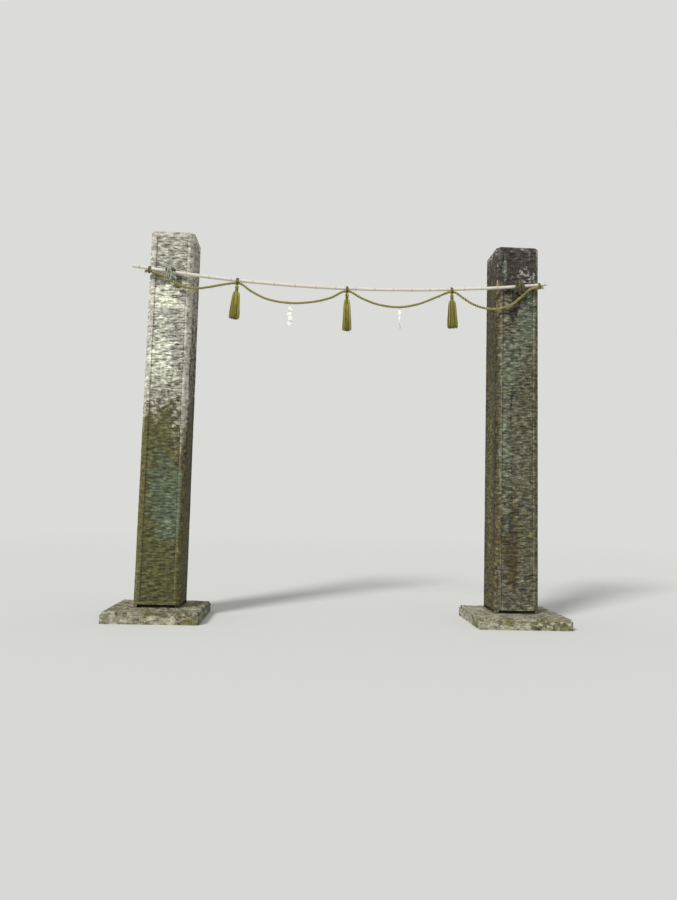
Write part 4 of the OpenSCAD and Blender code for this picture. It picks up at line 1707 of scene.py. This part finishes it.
        # Dirt and painted shade in the strokes, a painted shadow along the panel's lip, and painted
        # shade in the foot openings.
        marks = np.where(panel, 0.72 * cuts + 0.45 * lip_shadow, 0.16 * cuts) + 0.9 * gap
        on_face = (flat, np.broadcast_to(out, flat.shape), np.where(gap, self.gap_depth, depth),
                   marks, np.where(panel, 1.0, 0.15))
        on_corner = (corner, between, plain, plain, plain + 0.15)
        return [np.concatenate(parts, axis=1) for parts in zip(on_face, on_corner)]

    def wear(self, points: Array, looks: Array) -> Array:
        """How much the stone has lost: chips on the arrises, and low waves and dents all over.

        Args:
            points: the post's places.
            looks: the direction that each place looks in.

        Returns:
            The loss at each place.
        """
        turns = [np.linalg.norm(looks - np.roll(looks, step, axis=1), axis=-1) > 0.1
                 for step in (1, -1)]
        arris = (turns[0] | turns[1]) * 1.0
        beside = np.maximum(np.roll(arris, 1, axis=1), np.roll(arris, -1, axis=1))
        arris = np.maximum(arris, 0.45 * beside)
        chips = ease((clouds(points, 0.045, self.seed + 30) - 0.56) / 0.16)
        worn = ease((clouds(points, 0.4, self.seed + 31) - 0.4) / 0.3)
        waves = 0.0035 * clouds(points, 0.33, self.seed + 32)
        dents = 0.0016 * clouds(points, 0.05, self.seed + 33)
        return arris * (0.0012 + 0.0075 * chips * worn) + waves + dents

    def build(self, skin: Material) -> None:
        """Works out the grid, sinks panels, strokes, wear and foot openings, and closes it.

        Args:
            skin: the stone's finish.
        """
        z = self.rows()
        half = (self.foot_width - (self.foot_width - self.top_width) * z / z[-1]) / 2
        half[-1] -= self.top_bevel
        faces = [self.face_columns(z, half, face) for face in Face]
        points, looks, depth, groove, tooled = [np.concatenate(parts, axis=1)
                                                for parts in zip(*faces)]
        points = points + self.centre
        points[..., 2] = self.foot + z[:, None]
        blended = unit(2 * looks + np.roll(looks, 1, axis=1) + np.roll(looks, -1, axis=1))
        way = np.where((depth > 0.5 * self.gap_depth)[..., None], looks, blended)
        values = self.films(points, looks, tooled)
        values |= {"groove": np.clip(groove, 0, 1), "tooled": tooled}
        points = points - way * (depth + self.wear(points, looks))[..., None]
        rings = np.linspace(0.93, 0.02, 9)[:, None, None]
        middle = points[-1].mean(axis=0)
        cap = middle + (points[-1] - middle) * rings
        cap[..., 2] = self.top - 0.001 - 0.004 * clouds(cap, 0.06, self.seed + 40)
        values = {name: np.concatenate([value, np.repeat(value[-1:], len(rings), axis=0)])
                  for name, value in values.items()}
        draft = Draft()
        draft.tube(np.concatenate([points, cap]), **values)
        name = self.node.replace("shaft", "post_of_granite")
        hand_over(draft, name, skin, (self.node,), crease=60)


@dataclass
class BaseStone:
    """A low square stone with rounded upper edges, rough sides, and moss towards the front.

    The surface is a rounded rectangle carried up the sides and then drawn in towards the middle
    of the top. The outline at share k has both half sizes and the corner's radius times k.
    """

    node: str
    carries: str
    seed: int
    corner: float = 0.012
    columns: int = 52
    row_step: float = 0.012
    bevel: float = 0.006
    rough: float = 0.004
    chip: float = 0.007
    mossy: float = 0.5

    def __post_init__(self) -> None:
        """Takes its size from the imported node, and from what stands on it."""
        self.low, self.high = [np.array(corner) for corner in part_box(self.node)]
        self.foot = [np.array(corner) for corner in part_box(self.carries)]

    def outline(self) -> tuple[Array, Array]:
        """The rounded rectangle seen from above, anticlockwise.

        Returns:
            Its points about the stone's middle, and the direction that each of them looks in.
        """
        half = (self.high - self.low)[:2] / 2
        corners = [(1, -1), (1, 1), (-1, 1), (-1, -1)]
        points, looks = [], []
        for turn, signs in enumerate(corners):
            arc = on_circle(np.radians(90 * turn - 90 + np.linspace(0, 90, 5)))
            here = (half - self.corner) * signs + arc * self.corner
            there = (half - self.corner) * corners[(turn + 1) % 4] + arc[-1] * self.corner
            t = np.linspace(0, 1, self.columns + 2)[1:-1, None]
            points += [here, here[-1] + (there - here[-1]) * t]
            looks += [arc, np.broadcast_to(arc[-1], (self.columns, 2))]
        return np.concatenate(points), np.concatenate(looks)

    def build(self, skin: Material) -> None:
        """Makes the stone. Roughness sinks the surface, but not under what stands on it.

        Args:
            skin: the stone's finish.
        """
        flat, looks = self.outline()
        tall, bevel = self.high[2] - self.low[2], self.bevel
        rows = [(0.0, z) for z in np.linspace(0, tall - bevel, max(int(tall / self.row_step), 3))]
        rows += [(bevel * (1 - math.cos(a)), tall - bevel * (1 - math.sin(a)))
                 for a in (0.5, 1.0, 1.57)]
        inset, height = np.array(rows).T
        side = flat - looks * inset[:, None, None]
        share = np.linspace(1, 0.01, 30)[1:]
        plan = np.concatenate([side, side[-1] * share[:, None, None]])
        z = np.concatenate([height, np.full(len(share), tall)])
        centre = (self.low + self.high) / 2
        points = extended(plan + centre[:2], z[:, None, None] + self.low[2])
        lift = ease((z - tall + bevel) / bevel)[:, None, None]
        way = extended(np.broadcast_to(looks, plan.shape) * (1 - lift), lift)
        dents = clouds(points, 0.16, self.seed) + 0.45 * clouds(points, 0.035, self.seed + 3)
        chips = ease((clouds(points, 0.06, self.seed + 5) - 0.58) / 0.15)
        inward = (1 - share) * (self.high - self.low)[0] / 2
        rim = np.exp(-np.concatenate([(tall - height) / 0.014, inward / 0.012]) ** 2)[:, None]
        low, high = self.foot
        clear = np.maximum(low[:2] - points[..., :2], points[..., :2] - high[:2])
        clear = np.maximum(clear, 0).max(axis=-1)
        depth = (self.rough * dents * ease(clear / 0.03 + 1 - lift[..., 0])
                 + self.chip * chips * rim * ease(clear / 0.02))
        depth = depth * ease(z / 0.004)[:, None]
        front = ease((-points[..., 1] - 0.1) / 0.5)
        spread = clouds(points, 0.13, self.seed + 7, 4)
        shade, soil, colony = [clouds(points, size, self.seed + k)
                               for size, k in ((0.3, 8), (0.22, 9), (0.09, 10))]
        # Painted contact shade: the top goes darker within 2 cm of the stone that stands on it.
        joint = 0.35 * ease((0.02 - clear) / 0.02) * lift[..., 0]
        mossy = self.mossy * (0.4 + 0.8 * front) * ease((spread - 0.42) / 0.2)
        films = {
            Film.MOSS: np.clip(mossy, 0, 1),
            Film.ALGAE: 0.6 * ease((shade - 0.3) / 0.3),
            Film.EARTH: 0.55 * ease((soil - 0.42) / 0.25),
            Film.LICHEN: 0.5 * ease((colony - 0.58) / 0.12),
            # Darker towards the bottom 3 cm of each stone.
            Film.SOOT: 0.3 * ease((0.03 - z[:, None]) / 0.03),
            Film.PALE: 0.0,
        }
        draft = Draft()
        draft.tube(points - way * depth[..., None], groove=0.5 * np.clip(dents - 0.7, 0, 1) + joint,
                   tooled=0.45, **{film.value: cover for film, cover in films.items()}, damp=0.8)
        hand_over(draft, self.node + "_of_granite", skin, (self.node,), crease=55)


@dataclass
class Studio:
    """The camera at the photograph's place, plain soft light, and a pale floor that meets a
    background of its own colour."""

    camera_at: tuple[float, float, float] = (-0.4822, -8.2796, 1.3851)
    lens: float = 27.2016
    yaw: float = 0.0528
    pitch: float = 0.0792
    roll: float = 0.025
    sun_from: tuple[float, float, float] = (-0.50, -0.62, 0.62)
    sun: float = 2.7
    sun_width: float = 14.0
    sky: float = 0.52
    paleness: str = "#dbdcd9"
    floor_colour: str = "#d3d4d0"
    floor_radius: float = 60.0
    floor_sides: int = 96
    fade: tuple[float, float] = (5.0, 26.0)

    def camera(self) -> None:
        """Puts the camera down: turned right by the yaw, up by the pitch, then rolled."""
        flat = math.cos(self.pitch)
        ahead = np.array([math.sin(self.yaw) * flat, math.cos(self.yaw) * flat,
                          math.sin(self.pitch)])
        level = np.array([math.cos(self.yaw), -math.sin(self.yaw), 0])
        upright = np.cross(level, ahead)
        right = level * math.cos(self.roll) + upright * math.sin(self.roll)
        up = upright * math.cos(self.roll) - level * math.sin(self.roll)
        camera = placed("camera", bpy.data.cameras.new("camera"))
        camera.data.lens = self.lens
        camera.data.sensor_width = 36.0
        turned = Matrix(np.stack([right, up, -ahead], axis=1).tolist()).to_4x4()
        camera.matrix_world = Matrix.Translation(self.camera_at) @ turned
        bpy.context.scene.camera = camera

    def light(self) -> None:
        """A soft sun from the upper left, and a sky that shows the camera its own pale colour."""
        lamp = bpy.data.lights.new("soft_sun", "SUN")
        lamp.energy = self.sun
        lamp.angle = math.radians(self.sun_width)
        back = unit(np.array(self.sun_from))
        side = unit(np.cross(ALONG_Z, back))
        turned = np.stack([side, np.cross(back, side), back], axis=1)
        placed("soft_sun", lamp).matrix_world = Matrix(turned.tolist()).to_4x4()
        world = bpy.data.worlds.new("pale_sky")
        desk = Desk(world)
        lit = desk.add("Background", {"Color": (1.0, 1.0, 1.0, 1.0), "Strength": self.sky})
        shown = desk.add("Background", {"Color": linear(self.paleness), "Strength": 1.0})
        either = desk.add("MixShader", {0: self.seen(desk), 1: lit, 2: shown})
        desk.add("OutputWorld", {"Surface": either})
        bpy.context.scene.world = world

    def seen(self, desk: Desk) -> Socket:
        """Tells the camera's rays, and those that it follows through gloss and glass, from others.

        Args:
            desk: takes the nodes.

        Returns:
            1 for such a ray, 0 for another one.
        """
        most = desk.add("LightPath")
        rays = most.node.outputs
        for kind in ("Is Glossy Ray", "Is Transmission Ray"):
            most = desk.add("Math", {0: most, 1: rays[kind]}, operation="MAXIMUM")
        return most

    def floor(self) -> None:
        """A wide disc just under the stones, which fades into the background far from them."""
        ring = extended(circles(self.floor_radius, self.floor_sides), -0.0005)
        made = bpy.data.meshes.new("floor")
        made.from_pydata(ring.tolist(), [], [list(range(self.floor_sides))])
        desk = Desk(bpy.data.materials.new("pale_floor"))
        place = desk.add("TexCoord", out="Object")
        away = desk.add("VectorMath", {0: place}, out="Value", operation="LENGTH")
        fade = desk.add("MapRange", {"Value": away, "From Min": self.fade[0],
                                     "From Max": self.fade[1]}, interpolation_type="SMOOTHSTEP")
        near = desk.add("BsdfPrincipled", {"Base Color": linear(self.floor_colour),
                                           "Roughness": 0.9, "Specular IOR Level": 0.1})
        far = desk.add("Emission", {"Color": linear(self.paleness), "Strength": 1.0})
        share = desk.add("Math", {0: fade, 1: self.seen(desk)}, operation="MULTIPLY")
        either = desk.add("MixShader", {0: share, 1: near, 2: far})
        desk.add("OutputMaterial", {"Surface": either})
        made.materials.append(desk.owner)
        floor = placed("floor", made)


TIES = {"left_end_tie": -2.375, "left_tie": -1.325, "middle_tie": 0.0, "right_tie": 1.285,
        "right_end_tie": 2.375}
HOOKS = {"left": -2.130, "right": 2.130}

LEFT_PATCHES = patches(
    # The pale patches on the upper front stand for bleached stone and partly for painted dappled
    # sunlight.
    (Film.PALE, Face.FRONT, (0.19, 4.38, 0.05, 0.22, 0.45), (-0.05, 3.82, 0.18, 0.16, 0.80),
     (-0.07, 2.97, 0.15, 0.34, 0.52), (-0.11, 3.36, 0.15, 0.42, 0.44)),
    # Painted shadow: this soot patch under the pole is the shadow of the pole.
    (Film.SOOT, Face.FRONT, (0.02, 4.02, 0.18, 0.08, 0.35)),
    (Film.ALGAE, Face.FRONT, (0.17, 3.40, 0.10, 0.55, 0.20), (0.0, 1.90, 0.30, 0.80, 0.30),
     (0.04, 0.22, 0.26, 0.16, 0.5)),
    (Film.LICHEN, Face.FRONT, (0.11, 1.24, 0.16, 0.38, 0.62), (0.02, 1.72, 0.20, 0.46, 0.24),
     (-0.10, 1.55, 0.16, 0.50, 0.20), (0.04, 1.40, 0.20, 0.44, 0.30)),
    (Film.EARTH, Face.FRONT, (-0.12, 2.05, 0.12, 0.40, 0.35), (-0.22, 1.30, 0.07, 1.15, 0.75),
     (-0.04, 0.70, 0.18, 0.40, 0.55)),
    # Earth and soot over the whole right face: stain, and painted shade on that side.
    (Film.EARTH, Face.RIGHT, (0.0, 1.6, 0.4, 2.2, 0.6)),
    (Film.SOOT, Face.RIGHT, (0.0, 2.4, 0.3, 1.7, 0.5)),
    (Film.MOSS, Face.BACK, (0.05, 0.9, 0.22, 0.9, 0.5)),
    (Film.EARTH, Face.BACK, (-0.05, 1.8, 0.3, 1.6, 0.4)),
    (Film.LICHEN, Face.LEFT, (0.0, 2.6, 0.2, 0.9, 0.5)),
)

RIGHT_PATCHES = patches(
    # The second and third soot patches darken the stone just under the knot.
    (Film.SOOT, Face.FRONT, (0.0, 4.44, 0.42, 0.37, 0.88), (-0.025, 3.95, 0.050, 0.12, 1.0),
     (-0.055, 3.77, 0.045, 0.09, 0.95), (-0.07, 3.00, 0.025, 0.34, 0.7),
     (-0.09, 1.90, 0.03, 0.90, 0.35), (-0.06, 0.95, 0.05, 0.40, 0.3)),
    (Film.LICHEN, Face.FRONT, (-0.168, 4.34, 0.030, 0.16, 1.0), (0.14, 3.76, 0.10, 0.32, 0.88),
     (-0.02, 3.30, 0.17, 0.40, 0.55), (-0.14, 3.05, 0.09, 0.40, 0.8),
     (-0.15, 1.90, 0.08, 0.85, 0.72)),
    (Film.PALE, Face.FRONT, (-0.168, 4.34, 0.026, 0.15, 0.55), (0.095, 4.27, 0.16, 0.14, 0.52),
     (-0.262, 4.30, 0.014, 0.28, 1.0), (-0.17, 3.92, 0.09, 0.10, 0.38),
     (0.0, 3.45, 0.14, 0.14, 0.26)),
    (Film.EARTH, Face.FRONT, (-0.06, 1.00, 0.09, 0.55, 0.75), (-0.24, 2.1, 0.04, 2.1, 0.55),
     (0.245, 2.4, 0.04, 2.0, 0.5)),
    (Film.MOSS, Face.FRONT, (0.10, 1.05, 0.14, 0.34, 0.5)),
    (Film.EARTH, Face.LEFT, (0.0, 2.2, 0.4, 2.6, 0.85)),
    (Film.SOOT, Face.LEFT, (0.22, 2.2, 0.05, 2.2, 0.35), (0.10, 4.45, 0.40, 0.25, 0.55)),
    (Film.MOSS, Face.LEFT, (0.0, 1.7, 0.13, 1.5, 0.72)),
    (Film.MOSS, Face.BACK, (0.0, 1.2, 0.2, 1.2, 0.5)),
    (Film.LICHEN, Face.RIGHT, (0.0, 3.0, 0.2, 0.9, 0.6)),
)


def main() -> None:
    """Builds the gate from the camera and the rope to the stones."""
    logging.basicConfig(level=logging.INFO, format="%(message)s")
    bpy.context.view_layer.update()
    bpy.context.scene.view_settings.view_transform = "Standard"
    studio = Studio()
    studio = Studio()
    studio.camera()
    straw = RiceStraw("weathered rice straw").material()
    new_straw = RiceStraw("newer rice straw", deep="#463f14", body="#8b8533", light="#bbb257")
    old_straw = RiceStraw("oldest rice straw", deep="#352f1d", body="#6c6544", light="#96916a")
    bleached = RiceStraw("bleached rice straw", deep="#6b6a5c", body="#c6c9ba", light="#eceee4")
    hemp = RiceStraw("hemp string", deep="#8d866c", body="#cdc6ae", light="#e4dfcd", stalk=0.0012)
    newer, oldest, pale, hemp = [finish.material() for finish in (new_straw, old_straw, bleached,
                                                                  hemp)]
    pole = BambooPole()
    rope = StrawRope(pole)
    rope.build(straw)
    iron = RustedIron("rusted iron").material()
    for side, x in HOOKS.items():
        Lashing(side, x, pole).build(oldest, pale if side == "left" else oldest)
        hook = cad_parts[side + "_hook"]
        hook.data.materials.clear()
        hook.data.materials.append(iron)
    for name, x in TIES.items():
        Tie(name, x, pole, rope).build(straw)
    left, middle, right = TIES["left_tie"], TIES["middle_tie"], TIES["right_tie"]
    Tassel("left_tassel", left, 0.415, 0.118, -3.5, pole, rope, twist=1.3, seed=11).build(newer)
    Tassel("middle_tassel", middle, 0.465, 0.104, 1.0, pole, rope, layer_from=0.33,
           seed=21).build(newer)
    Tassel("right_tassel", right, 0.425, 0.120, 2.0, pole, rope, seed=31).build(newer)
    paper = WhitePaper("mulberry paper").material()
    Streamer("left_streamer", -0.690, 12, rope, drift=0.012).build(paper, hemp)
    Streamer("right_streamer", 0.645, -45, rope, curl=-75).build(paper, hemp)
    pole.build(BleachedBamboo("bleached bamboo").material())
    grey = WeatheredGranite("grey granite").material()
    brown = WeatheredGranite("brown granite", steeped="#5d5a46", grain_light="#a5a18e",
                             earth="#4a4120", algae="#555a48", lichen="#68705b", soot="#30282b",
                             pale="#9c9890", contrast=0.80).material()
    # Below the left post's damp line the stone goes darker: partly damp and algae, partly painted
    # shade.
    StonePost("left_shaft", "left_granite", 100, LEFT_PATCHES).build(grey)
    StonePost("right_shaft", "right_granite", 300, RIGHT_PATCHES, damp=0.45, damp_line=5.0,
              grime=0.4).build(brown)
    base = WeatheredGranite("mossy granite", steeped="#8b866f", mark_depth=0.003).material()
    for side in HOOKS:
        BaseStone(side + "_base_slab", side + "_shaft", 500 + len(side)).build(base)
        BaseStone(side + "_footing_stone", side + "_base_slab", 600 + len(side)).build(base)
    studio.light()
    studio.floor()


if __name__ == "__main__":
    main()
